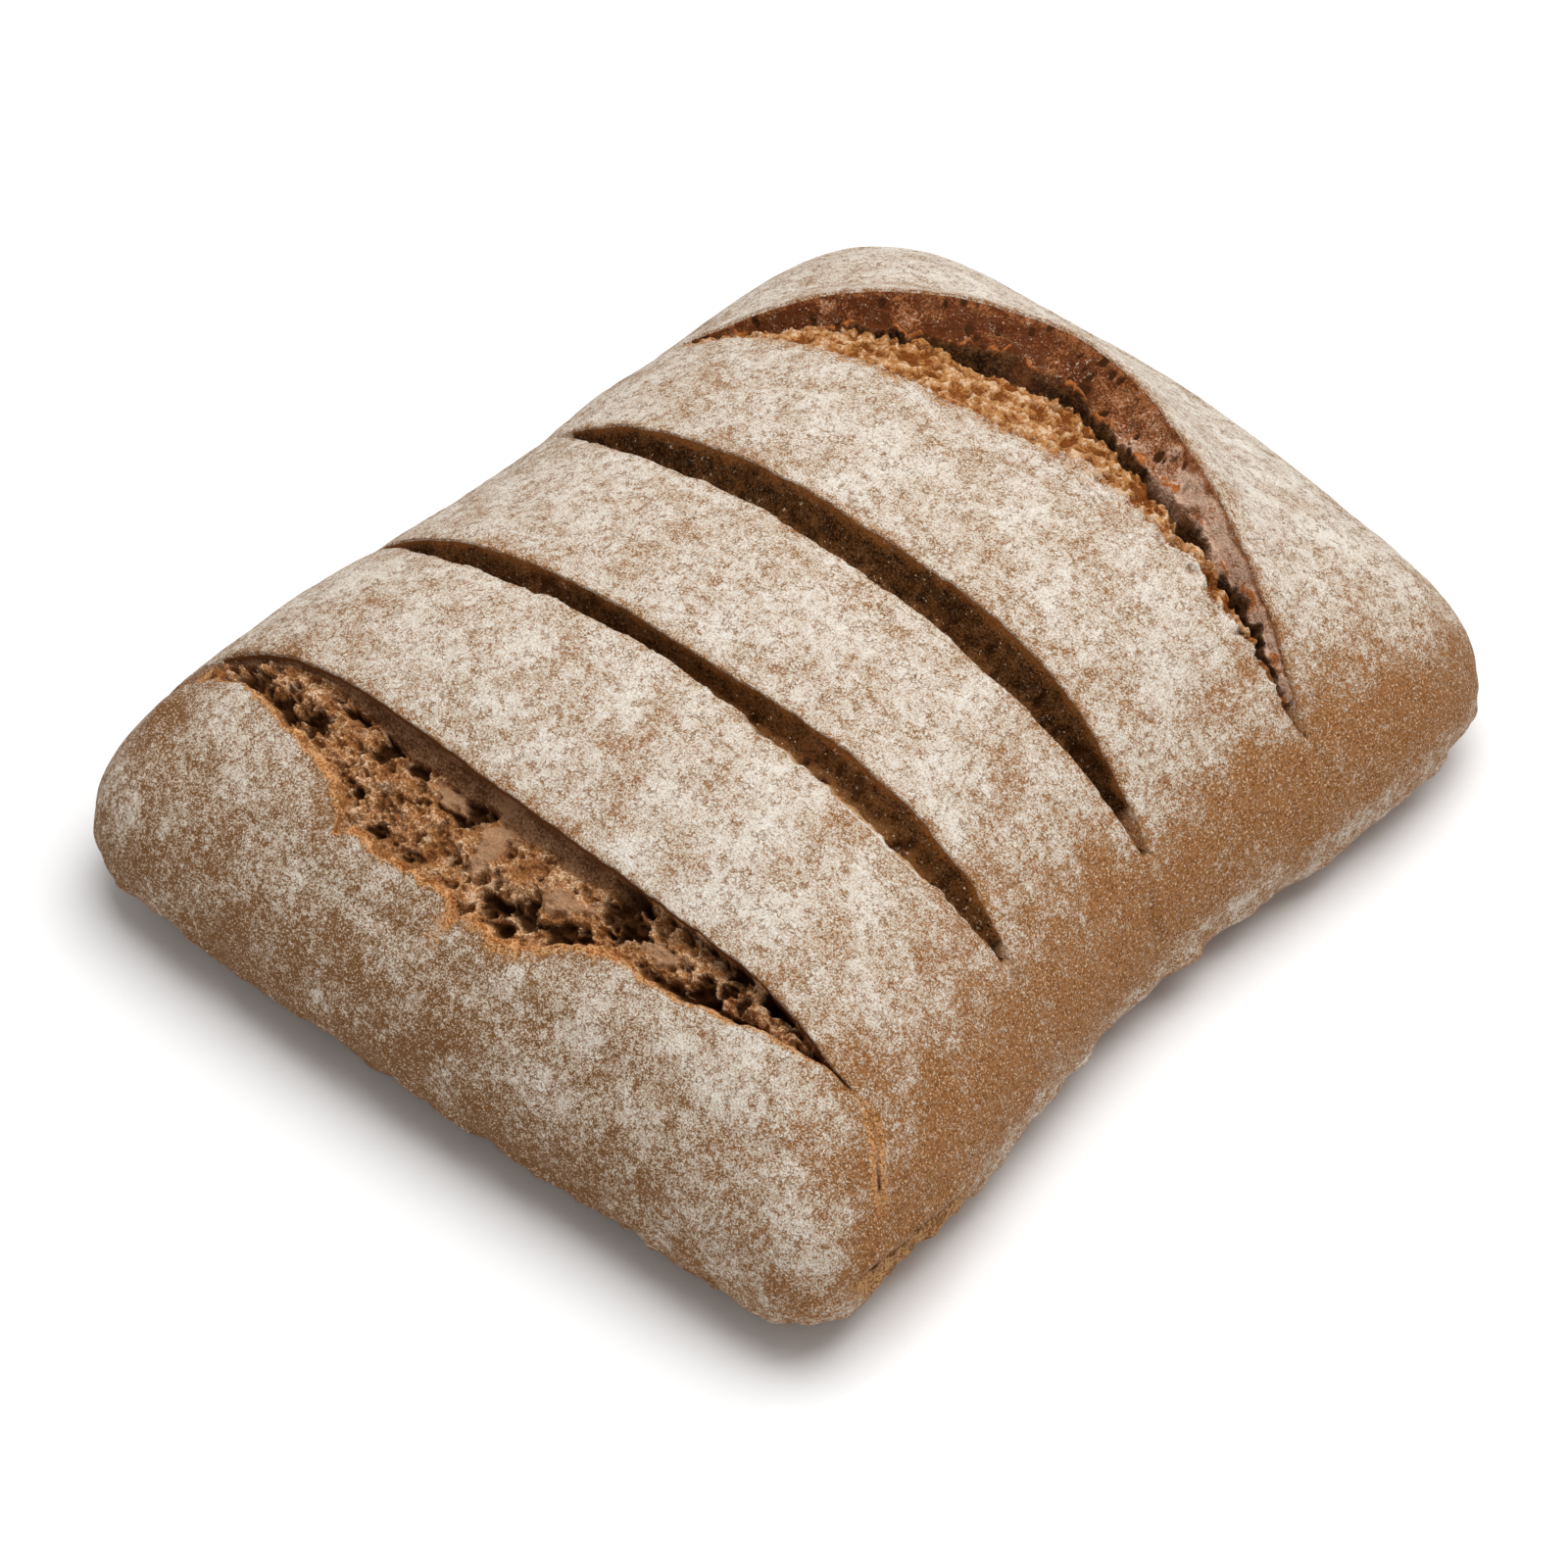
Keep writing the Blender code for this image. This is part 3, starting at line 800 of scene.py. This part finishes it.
def slash_form(slash, columns, rows):
    """Chord points, shares, inward directions and open shares for a slab's grid."""
    number = SLASHES.index(slash)
    first = 2 * number + 1
    low_a = (slash.tips[0] + TIP_INSET) / (HALF_WIDTH * SHOULDER_SHARE)
    high_a = (slash.tips[1] - TIP_INSET) / (HALF_WIDTH * SHOULDER_SHARE)
    a = np.linspace(max(low_a, -RIM_INSET), min(high_a, RIM_INSET), columns + 1)
    crossing = lip_lines(a)
    near = lip_points(a, crossing[first], False)
    far = lip_points(a, crossing[first + 1], slash is BACK_SLASH)
    out = crown_normal(a, (crossing[first] + crossing[first + 1]) / 2)
    width = np.linalg.norm(far - near, axis=-1)
    margin = SLAB_OVERLAP / np.maximum(width, 1.5)
    t = np.linspace(0, 1, rows + 1)[:, None]
    share = -margin + (1 + 2 * margin) * t
    chord = near + (far - near) * share[..., None]
    return chord, share, np.broadcast_to(out, chord.shape), openness(slash, chord[..., 0])


def bubbles(points, size, shift, fill):
    """Hollows from 0 to 1 of round bubbles of about the given size; fill is how many show."""
    flat = points.reshape(-1, 3) / size + shift
    depth = np.zeros(len(flat))
    for index, place in enumerate(flat.tolist()):
        distances, centres = noise.voronoi(place)
        chance = noise.cell(centres[0] * 37.3)
        if abs(chance) < fill:
            radius = 0.28 + 0.5 * abs(noise.cell(centres[0] * 11.9))
            depth[index] = max(1 - (distances[0] / radius) ** 2, 0) ** 0.5
    return depth.reshape(points.shape[:-1])


def section_depth(slash, share):
    """Depth of the opening under the chord at each share."""
    return np.interp(share, slash.section[:, 0], slash.section[:, 1])


def make_slab(name, slash, cells, depth, chord, out, paints):
    """Put a slab's grid in its slash and store its painted numbers."""
    slab, column, row, under = slash_slab(name, *cells)
    surface = chord - out * depth[..., None]
    smooth_depth = section_depth(slash, np.linspace(0, 1, cells[1] + 1))[:, None]
    backing = chord - out * (np.maximum(smooth_depth, depth) + SLAB_THICKNESS)[..., None]
    points = np.where(under[:, None], backing[row, column], surface[row, column])
    place_mesh(slab, points)
    bpy.ops.object.shade_smooth()
    for key, values in paints.items():
        paint(slab, key, values[row, column])
    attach(slab, "root")
    return slab


def ridges(points, size, shift):
    """Sharp-crested noise from -1 to 1 with ridges of the given spacing."""
    return 1 - 4 * np.abs(lumps(points, size, shift))


CUT_ENDS = (27, 12)
SLOT_ENDS = ((30, 38), (68, 60))
SKINS = ((-19.0, 0.72, 5.0, 0.11), (-5.0, 0.55, 3.0, 0.26), (14.0, 0.52, 5.5, 0.13),
         (36.0, 0.45, 4.5, 0.2))

chord, share, out, opened = slash_form(FRONT_SLASH, *FRONT_CELLS)
x = chord[..., 0]
warp = np.stack([lumps(chord, 3.0, 4.0 + 3 * axis) for axis in range(3)], -1)
fray = np.stack([lumps(chord, 1.3, 20.0 + 3 * axis) for axis in range(3)], -1)
bent = chord + 2.0 * warp + 0.6 * fray
cavern = bubbles(bent * (0.7, 1, 1), 6.3, 3.3, 0.45)
large = bubbles(bent, 3.3, 1.7, 0.6)
medium = bubbles(chord + 0.9 * warp + 0.5 * fray, 1.8, 5.1, 0.7)
small = bubbles(chord + 0.3 * warp + 0.2 * fray, 0.95, 8.8, 0.8)
wall_from = 0.81 + 0.10 * smooth_step(-38, -58, x) + 0.03 * jagged(x, 6.0, 51)
cut_wall = smooth_step(-0.03, 0.03, share - wall_from) * smooth_step(*CUT_ENDS, x)
skin = sum(np.exp(-((x - sx) / sw) ** 2 - ((share - ss) / sh) ** 2) for sx, ss, sw, sh in SKINS)
skin = smooth_step(0.25, 0.8, skin + 0.5 * warp[..., 0] + 0.3 * lumps(chord, 1.2, 5.0))
spongy = (1 - 0.94 * cut_wall) * (1 - 0.8 * skin)
spongy = spongy * smooth_step(0.02, 0.10, share) * smooth_step(1.02, 0.96, share)
slot = np.exp(-((share - 0.14) / 0.09) ** 2)
slot = slot * smooth_step(*SLOT_ENDS[0], x) * smooth_step(*SLOT_ENDS[1], x)
under_lip = np.exp(-((share - 0.93) / 0.03) ** 2) * smooth_step(CUT_ENDS[1], CUT_ENDS[0], x)
heap = np.exp(-((share - 0.5) / 0.22) ** 2) * (0.9 + 1.1 * lumps(chord, 12.0, 5.5))
inside = smooth_step(0.05, 0.3, share) * smooth_step(1.0, 0.9, share)
heap = heap + 2.4 * smooth_step(-38, -60, x) * inside
crags = 0.7 * ridges(chord + warp, 6.0, 2.9) + 0.55 * ridges(chord + fray, 2.6, 6.1)
crags = crags + 0.3 * ridges(chord + 0.4 * fray, 1.4, 4.6) + 0.25 * lumps(chord, 0.8, 1.1)
hollow = 3.2 * cavern + 1.5 * large + 0.8 * medium + 0.4 * small
depth = section_depth(FRONT_SLASH, share) + 3.4 * slot + 0.4 * under_lip - heap
depth = (depth + spongy * (hollow - crags)) * np.maximum(smooth_step(0, 0.2, opened), 0.5 * (x < -70))
from_lip = share * np.linalg.norm(chord[-1] - chord[0], axis=-1)
rim_width = 0.5 + 1.9 * np.exp(-((x - 14) / 15) ** 2) + 1.1 * jagged(x, 2.6, 53)
rim_width = rim_width + 0.5 * jagged(x, 0.9, 54)
rim_grain = 0.35 * lumps(chord, 1.8, 2.2) + 0.3 * lumps(chord, 0.9, 7.2)
depth = np.maximum(depth + rim_grain * smooth_step(3, 1, from_lip), 0.0) + 0.15
paints = {
    # Painted shade: hollow darkens the bubbles, the groove by the near lip and the strip under the far
    # lip.
    "hollow": np.clip(hollow / 2.8, 0, 1) * spongy + 0.9 * slot + 0.3 * under_lip,
    # crest: the crags' tops painted paler, partly drier crumb and partly a painted highlight.
    "crest": np.clip(0.5 + 0.45 * crags, 0, 1) * spongy,
    "wall": cut_wall,
    "skin": skin * (1 - cut_wall),
    "torn": smooth_step(0.4, -0.4, from_lip - rim_width) * smooth_step(0, 0.2, opened),
    "toast": smooth_step(0.965, 0.995, share),
}
front_crumb = make_slab("front_crumb", FRONT_SLASH, FRONT_CELLS, depth, chord, out, paints)

CRUMB_LIGHT = (0.80, 0.560, 0.370, 1)
SKIN_PINK = (0.46, 0.285, 0.170, 1)
CUT_FACE = (0.100, 0.036, 0.010, 1)
CUT_BLOOM = (0.310, 0.165, 0.085, 1)
TORN_DARK = (0.30, 0.092, 0.018, 1)
TORN_BRIGHT = (0.74, 0.405, 0.180, 1)


def bran_specks(tree, where, colour, low):
    """Strew pale bran specks over a cut face."""
    specks = reach(tree, grain(tree, where, 0.7, 2.0, 0.6), low, 0.76)
    return blend_colour(tree, specks, colour, SPECK)


def crumb_finish():
    """Moist brown crumb, painted dark as shade in its bubbles and paler on its crests as partly a
    painted highlight, with the darker cut face over it.
    """
    material, tree, shader, where = new_finish("spongy_crumb")
    fine = grain(tree, where, 0.5, 2.0, 0.75)
    mottle = grain(tree, where, 2.6, 3.0, 0.6)
    bloom = grain(tree, where, 6.0, 2.0, 0.6)
    # The crest term makes the crags' tops paler: partly drier crumb, partly a painted highlight.
    tone = sums(tree, (fine, 1.8), (mottle, 1.1), (painted(tree, "crest"), 0.35), -1.48)
    body = blend_colour(tree, reach(tree, tone, -0.25, 0.16), CRUMB_DARK, CRUMB)
    body = blend_colour(tree, reach(tree, tone, 0.12, 0.40), body, CRUMB_PALE)
    body = blend_colour(tree, reach(tree, tone, 0.28, 0.50), body, CRUMB_LIGHT)
    body = blend_colour(tree, sums(tree, (painted(tree, "skin"), 0.6)), body, SKIN_PINK)
    # Painted shade in the bubbles, the groove and under the far lip.
    body = blend_colour(tree, reach(tree, painted(tree, "hollow"), 0.25, 0.95), body, PAINTED_HOLLOW_SHADE)
    bloomed = reach(tree, sums(tree, (fine, 1.1), (bloom, 0.8)), 0.76, 1.14)
    face = bran_specks(tree, where, blend_colour(tree, bloomed, CUT_FACE, CUT_BLOOM), 0.67)
    colour = blend_colour(tree, painted(tree, "wall"), body, face)
    colour = blend_colour(tree, frayed(tree, "toast", fine, 0.9, 0.3, 0.8), colour, TOASTED)
    bright = reach(tree, sums(tree, (fine, 1.2), (mottle, 0.8)), 0.84, 1.16)
    edge = blend_colour(tree, bright, TORN_DARK, TORN_BRIGHT)
    colour = blend_colour(tree, frayed(tree, "torn", fine, 0.8, 0.25, 0.65), colour, edge)
    shader.inputs["Roughness"].default_value = 0.75
    relief = sums(tree, (fine, 1.0), (mottle, 0.7))
    lay_finish(tree, shader, colour, 0.08, relief, 0.8, 0.8)
    return material


front_crumb.data.materials.append(crumb_finish())

# The two middle slashes: clean cuts of the baker's knife, held at a slant, that opened only a
# little. Their faces baked to a smooth dark brown with a few burst bubbles and pale specks.
MIDDLE_CELLS = (430, 40)


def cut_depth(slash, chord, share, opened):
    """Depth of a clean cut, with shallow ripples and a few bubbles in its face."""
    pits = bubbles(chord + 0.4 * lumps(chord, 2.0, 1.0)[..., None], 1.9, slash.tips[1] / 7, 0.2)
    tiny = bubbles(chord, 1.1, 2.4, 0.45) * smooth_step(-0.15, 0.2, lumps(chord, 13.0, 6.6))
    ripple = 0.35 * lumps(chord, 6.0, 3.7) + 0.22 * lumps(chord, 2.0, 8.2)
    ripple = ripple + 0.10 * lumps(chord, 0.9, 4.2)
    inside = smooth_step(0.0, 0.15, share) * smooth_step(1.0, 0.85, share)
    hollow = 1.1 * pits + 0.5 * tiny
    worn = np.zeros_like(share)
    if slash is SECOND_SLASH:
        worn = smooth_step(-25, 45, chord[..., 0]) * (1 + 0.7 * jagged(chord[..., 0], 3.5, 63))
    width = 0.38 + 0.10 * lumps(chord, 2.5, 1.9)
    worn = np.clip(worn, 0, 1) * np.exp(-(share / width) ** 2)
    depth = section_depth(slash, share) * (1 - 0.85 * worn) + inside * (hollow - ripple)
    depth = depth * smooth_step(0, 0.45, opened) ** 0.6 + 0.5 * worn * lumps(chord, 1.2, 7.3) * inside
    return np.maximum(depth, 0) + 0.12, np.clip(pits + 0.9 * tiny, 0, 1) * inside, worn


CUT_DARK = (0.022, 0.007, 0.001, 1)
CUT_BROWN = (0.150, 0.058, 0.016, 1)
CUT_RIM = (0.22, 0.075, 0.017, 1)


def cut_finish():
    """Smooth dark brown cut face with bran specks, redder and toasted along its rim, with painted
    shade in its pits and painted light lifting its near, shaded side.
    """
    material, tree, shader, where = new_finish("knife_cut")
    fine = grain(tree, where, 0.45, 2.0, 0.75)
    mottle = grain(tree, where, 3.0, 2.0, 0.6)
    # Painted light: floor lightens the near half of the face, its deeper, shaded part.
    tone = sums(tree, (mottle, 0.7), (fine, 1.2), (painted(tree, "floor"), 0.32))
    face = blend_colour(tree, reach(tree, tone, 0.78, 1.2), CUT_DARK, CUT_BROWN)
    # Painted shade in the pits.
    face = blend_colour(tree, reach(tree, painted(tree, "hollow"), 0.2, 0.8), face, PAINTED_HOLLOW_SHADE)
    face = bran_specks(tree, where, face, 0.66)
    face = blend_colour(tree, frayed(tree, "toast", fine, 1.6, 0.3, 1.2), face, CUT_RIM)
    crumbs = blend_colour(tree, reach(tree, tone, 0.85, 1.15), CRUMB, CRUMB_PALE)
    face = blend_colour(tree, frayed(tree, "worn", fine, 1.4, 0.30, 0.85), face, crumbs)
    colour, _ = flour_over(tree, where, face, painted(tree, "flour"))
    shader.inputs["Roughness"].default_value = 0.7
    relief = sums(tree, (fine, 1.0), (mottle, 0.5))
    lay_finish(tree, shader, colour, 0.05, relief, 0.6, 0.6)
    return material


knife_cut = cut_finish()
for name, slash in (("second_cut", SECOND_SLASH), ("third_cut", THIRD_SLASH)):
    chord, share, out, opened = slash_form(slash, *MIDDLE_CELLS)
    depth, pit, worn = cut_depth(slash, chord, share, opened)
    dusted, lightness = (0.55, 1.2) if slash is SECOND_SLASH else (0.3, 0.8)
    paints = {
        # Painted shade: hollow darkens the pits.
        "hollow": pit,
        "toast": smooth_step(0.80, 1.0, share + 0.05 * jagged(chord[..., 0], 3.0, 61)),
        "worn": worn,
        # Painted light: floor lightens the near, shaded half of the face and lifts the second cut's
        # face a little over the third's.
        "floor": smooth_step(0.75, 0.1, share) * lightness + 0.5 * (lightness - 0.8),
        "flour": dusted * smooth_step(0.20, 0.0, share) + 0.60 * worn - 0.3,
    }
    cut = make_slab(name, slash, MIDDLE_CELLS, depth, chord, out, paints)
    cut.data.materials.append(knife_cut)

# The back slash: the crust lifted off in an ear. Its cut face stands up maroon brown with a
# bloom of flour and a painted sheen, over a deep ragged crevice painted dark as shade; the
# dough in front tore later and stayed golden.
BACK_CELLS = (470, 102)
CREVICE_AT = 0.665
CREVICE_DEPTH = 9.0

chord, share, out, opened = slash_form(BACK_SLASH, *BACK_CELLS)
x = chord[..., 0]
width = np.linalg.norm(chord[-1] - chord[0], axis=-1)
crevice_line = CREVICE_AT + 0.030 * jagged(x, 9.0, 71) + 0.014 * jagged(x, 3.6, 72)
offset = (share - crevice_line) * width + 1.3 * lumps(chord, 3.2, 8.8) + 0.7 * lumps(chord, 1.3, 5.8)
wide = 0.9 + 2.7 * np.exp(-((x + 13) / 18) ** 2) + 0.9 * np.exp(-((x - 42) / 14) ** 2)
wide = wide * (1 + 0.45 * jagged(x, 6.0, 74))
shallow = np.clip(width / 15, 0.2, 1)
crevice = np.exp(-((offset + 0.5 * wide) / wide) ** 4) * smooth_step(0.05, 0.35, opened)
broken = np.clip(0.80 + 0.9 * jagged(x, 7.0, 75) + 0.4 * lumps(chord, 4.0, 2.6), 0.1, 1)
crevice = crevice * broken
# Painted shade: the dark band along the crevice, where shade falls into the split.
crevice_shade = np.exp(-((offset - 0.1 * wide) / (0.9 * wide + 0.3)) ** 4) * smooth_step(0.05, 0.35, opened)
crevice_shade = crevice_shade * np.clip(broken + 0.3, 0, 1)
before = smooth_step(0.4, -0.4, offset)
behind = 1 - before
warp = np.stack([lumps(chord, 2.5, 4.0 + 3 * axis) for axis in range(3)], -1)
grainy = 0.7 * ridges(chord + warp, 4.6, 1.9) + 0.4 * ridges(chord + 0.5 * warp, 2.0, 2.7)
grainy = grainy + 0.3 * lumps(chord, 0.9, 3.6)
torn_zone = np.exp(-((offset + 1.5) / 3.6) ** 2)
crest_zone = np.exp(-((offset - wide - 0.6) / 0.6) ** 2) * smooth_step(-0.5, 0.4, jagged(x, 3.5, 79))
bent = np.stack((chord[..., 0], share * width, chord[..., 0] * 0), -1) + 0.5 * warp
large = bubbles(chord + 0.8 * warp, 3.2, 6.2, 0.6)
medium = bubbles(chord + 0.5 * warp, 1.6, 2.2, 0.6)
pits = bubbles(bent, 2.0, 9.4, 0.30) * smooth_step(50, 20, x)
inside = smooth_step(0.0, 0.1, share) * smooth_step(1.0, 0.93, share)
hollow = torn_zone * (1.8 * large + 0.9 * medium) + behind * (1.0 * pits + 0.3 * medium)
hollow = hollow + before * 0.35 * medium
layers = ridges(chord * (0.35, 1.0, 1.0), 3.4, 6.3)
ridged = 0.4 * layers + 0.5 * lumps(chord, 4.0, 5.5) + 0.25 * lumps(chord, 1.2, 7.1)
ripple = before * 0.9 * grainy + behind * ridged
ripple = ripple + crest_zone * (0.7 + 0.5 * jagged(x, 1.7, 76))
depth = (section_depth(BACK_SLASH, share) + CREVICE_DEPTH * crevice) * shallow
depth = (depth + inside * (hollow - ripple)) * smooth_step(0, 0.3, opened) + 0.08 + 0.2 * behind
flour = 0.55 * smooth_step(0.42, 0.06, share + 0.12 * lumps(chord, 6.0, 4.4)) * smooth_step(-8, 28, x)
flour = np.maximum(flour, 0.40 * smooth_step(0.12, 0.0, share))
flour = flour + 0.06 * before * smooth_step(-10, 30, x)
paints = {
    # Painted shade: hollow darkens the torn bubbles and the pits in the ear's face.
    "hollow": np.clip(torn_zone * (0.8 * large + 0.4 * medium) + behind * pits, 0, 1),
    # Painted shade along the crevice.
    "crevice_shade": np.maximum(crevice, crevice_shade),
    "crags": np.clip(0.5 + 0.5 * grainy, 0, 1),
    # bloom: the ear's face paler towards the right, partly flour bloom and partly a painted sheen.
    "bloom": behind * smooth_step(-5, 34, x),
    "wall": behind,
    "toast": smooth_step(0.93, 0.985, share + 0.02 * jagged(x, 3.0, 77)),
    "torn": crest_zone * smooth_step(0.1, 0.4, opened),
    "flour": flour + behind * (0.20 * smooth_step(0, 34, x) - 0.18) - 0.25 * before * (flour < 0.3),
}
back_tear = make_slab("back_tear", BACK_SLASH, BACK_CELLS, depth, chord, out, paints)

GOLD_DARK = (0.20, 0.055, 0.007, 1)
GOLD = (0.47, 0.210, 0.066, 1)
GOLD_PALE = (0.74, 0.500, 0.310, 1)
EAR_DARK = (0.105, 0.026, 0.006, 1)
EAR_BROWN = (0.310, 0.108, 0.036, 1)
# Pale bloom of the ear's face: partly flour, partly a painted sheen of gloss.
EAR_BLOOM_AND_SHEEN = (0.61, 0.400, 0.290, 1)
EAR_CREST = (0.42, 0.130, 0.030, 1)
# Painted shade in the crevice: near black, with shaded crumb brown.
CREVICE_SHADE = (0.020, 0.007, 0.002, 1)
CREVICE_SHADE_BROWN = (0.130, 0.055, 0.018, 1)


def tear_finish():
    """Golden torn dough below and the maroon face of the ear above, with a pale bloom that is partly
    flour and partly painted sheen, split by the crevice's painted shade.
    """
    material, tree, shader, where = new_finish("torn_ear")
    fine = grain(tree, where, 0.55, 2.0, 0.75)
    mottle = grain(tree, where, 2.4, 3.0, 0.65)
    bloom = grain(tree, where, 7.0, 2.0, 0.6)
    tone = sums(tree, (fine, 2.1), (mottle, 2.2), -2.15)
    crags = painted(tree, "crags")
    clumps = sums(tree, (fine, 1.1), (mottle, 1.8), (crags, 0.7), -1.94)
    golden = blend_colour(tree, reach(tree, clumps, -0.34, 0.02), GOLD_DARK, GOLD)
    golden = blend_colour(tree, reach(tree, clumps, 0.04, 0.34), golden, GOLD_PALE)
    # The pale bloom is partly flour and partly a painted sheen.
    sheen = sums(tree, (fine, 1.6), (mottle, 0.8), (bloom, 1.4), (painted(tree, "bloom"), 0.64), -2.18)
    face = blend_colour(tree, reach(tree, sheen, -0.22, 0.05), EAR_DARK, EAR_BROWN)
    face = blend_colour(tree, reach(tree, sheen, 0.06, 0.36), face, EAR_BLOOM_AND_SHEEN)
    face = bran_specks(tree, where, face, 0.67)
    colour = blend_colour(tree, painted(tree, "wall"), golden, face)
    crest = frayed(tree, "torn", fine, 0.8, 0.35, 0.8)
    colour = blend_colour(tree, crest, colour, EAR_CREST)
    lip = blend_colour(tree, reach(tree, tone, -0.3, 0.3), EAR_DARK, EAR_BROWN)
    colour = blend_colour(tree, frayed(tree, "toast", fine, 1.6, 0.3, 1.1), colour, lip)
    colour, _ = flour_over(tree, where, colour, painted(tree, "flour"))
    # Painted shade in the torn bubbles and pits.
    colour = blend_colour(tree, reach(tree, painted(tree, "hollow"), 0.15, 0.8), colour, PAINTED_HOLLOW_SHADE)
    # Painted shade fills the crevice.
    inside = blend_colour(tree, reach(tree, tone, -0.2, 0.35), CREVICE_SHADE, CREVICE_SHADE_BROWN)
    colour = blend_colour(tree, frayed(tree, "crevice_shade", fine, 1.4, 0.30, 0.95), colour, inside)
    shader.inputs["Roughness"].default_value = 0.65
    relief = sums(tree, (fine, 1.0), (mottle, 0.6))
    lay_finish(tree, shader, colour, 0.07, relief, 0.8, 0.7)
    return material


back_tear.data.materials.append(tear_finish())

# The picture: a pale sweep of paper under the loaf, soft light from above, and the camera
# high over the loaf's front corner, a long way off.
PAPER_SIZE = 8.0
PAPER_DROP = 0.0002
LAMP_AIM = (0, 0, 0.03)
bpy.ops.object.select_all(action="DESELECT")
bpy.ops.mesh.primitive_plane_add(size=PAPER_SIZE, location=(0, 0, -PAPER_DROP))
sweep = bpy.context.object
sweep.name = "paper_sweep"
paper, tree, shader, where = new_finish("pale_paper")
shader.inputs["Base Color"].default_value = (0.9, 0.9, 0.9, 1)
shader.inputs["Roughness"].default_value = 0.9
sweep.data.materials.append(paper)

world = bpy.data.worlds.new("studio")
world.use_nodes = True
world.node_tree.nodes["Background"].inputs["Color"].default_value = (1, 1, 1, 1)
world.node_tree.nodes["Background"].inputs["Strength"].default_value = 0.40
bpy.context.scene.world = world


def soft_light(name, place, size, watts):
    """A square soft box that looks at the loaf."""
    bpy.ops.object.light_add(type="AREA", location=place)
    lamp = bpy.context.object
    lamp.name = name
    lamp.data.size = size
    lamp.data.energy = watts
    lamp.rotation_euler = (Vector(LAMP_AIM) - Vector(place)).to_track_quat("-Z", "Y").to_euler()


soft_light("overhead_box", (0.1, 0.25, 1.5), 1.3, 25.0)

AZIMUTH = np.radians(42.583)
ELEVATION = np.radians(46.278)
DISTANCE = 1120.0
LOOK_AT = np.array((0.0, 0.0, 28.0))
OFF_RIGHT = 6.417
OFF_UP = 15.804
SENSOR_MM = 36.0
FRAME_PIXELS = 1600
FOCAL_PIXELS = 6010.0
right = np.array((np.cos(AZIMUTH), np.sin(AZIMUTH), 0))
forward = np.array((-np.sin(AZIMUTH), np.cos(AZIMUTH), 0))
up = forward * np.sin(ELEVATION) + np.array((0, 0, np.cos(ELEVATION)))
backward = np.cross(right, up)
eye = (LOOK_AT + backward * DISTANCE - right * OFF_RIGHT - up * OFF_UP - FORM_MIDDLE) * MM
bpy.ops.object.camera_add(location=eye)
camera = bpy.context.object
camera.name = "photo_camera"
camera.rotation_euler = (np.pi / 2 - ELEVATION, 0, AZIMUTH)
camera.data.sensor_width = SENSOR_MM
camera.data.lens = FOCAL_PIXELS / FRAME_PIXELS * SENSOR_MM
bpy.context.scene.camera = camera
bpy.context.scene.view_settings.view_transform = "Standard"
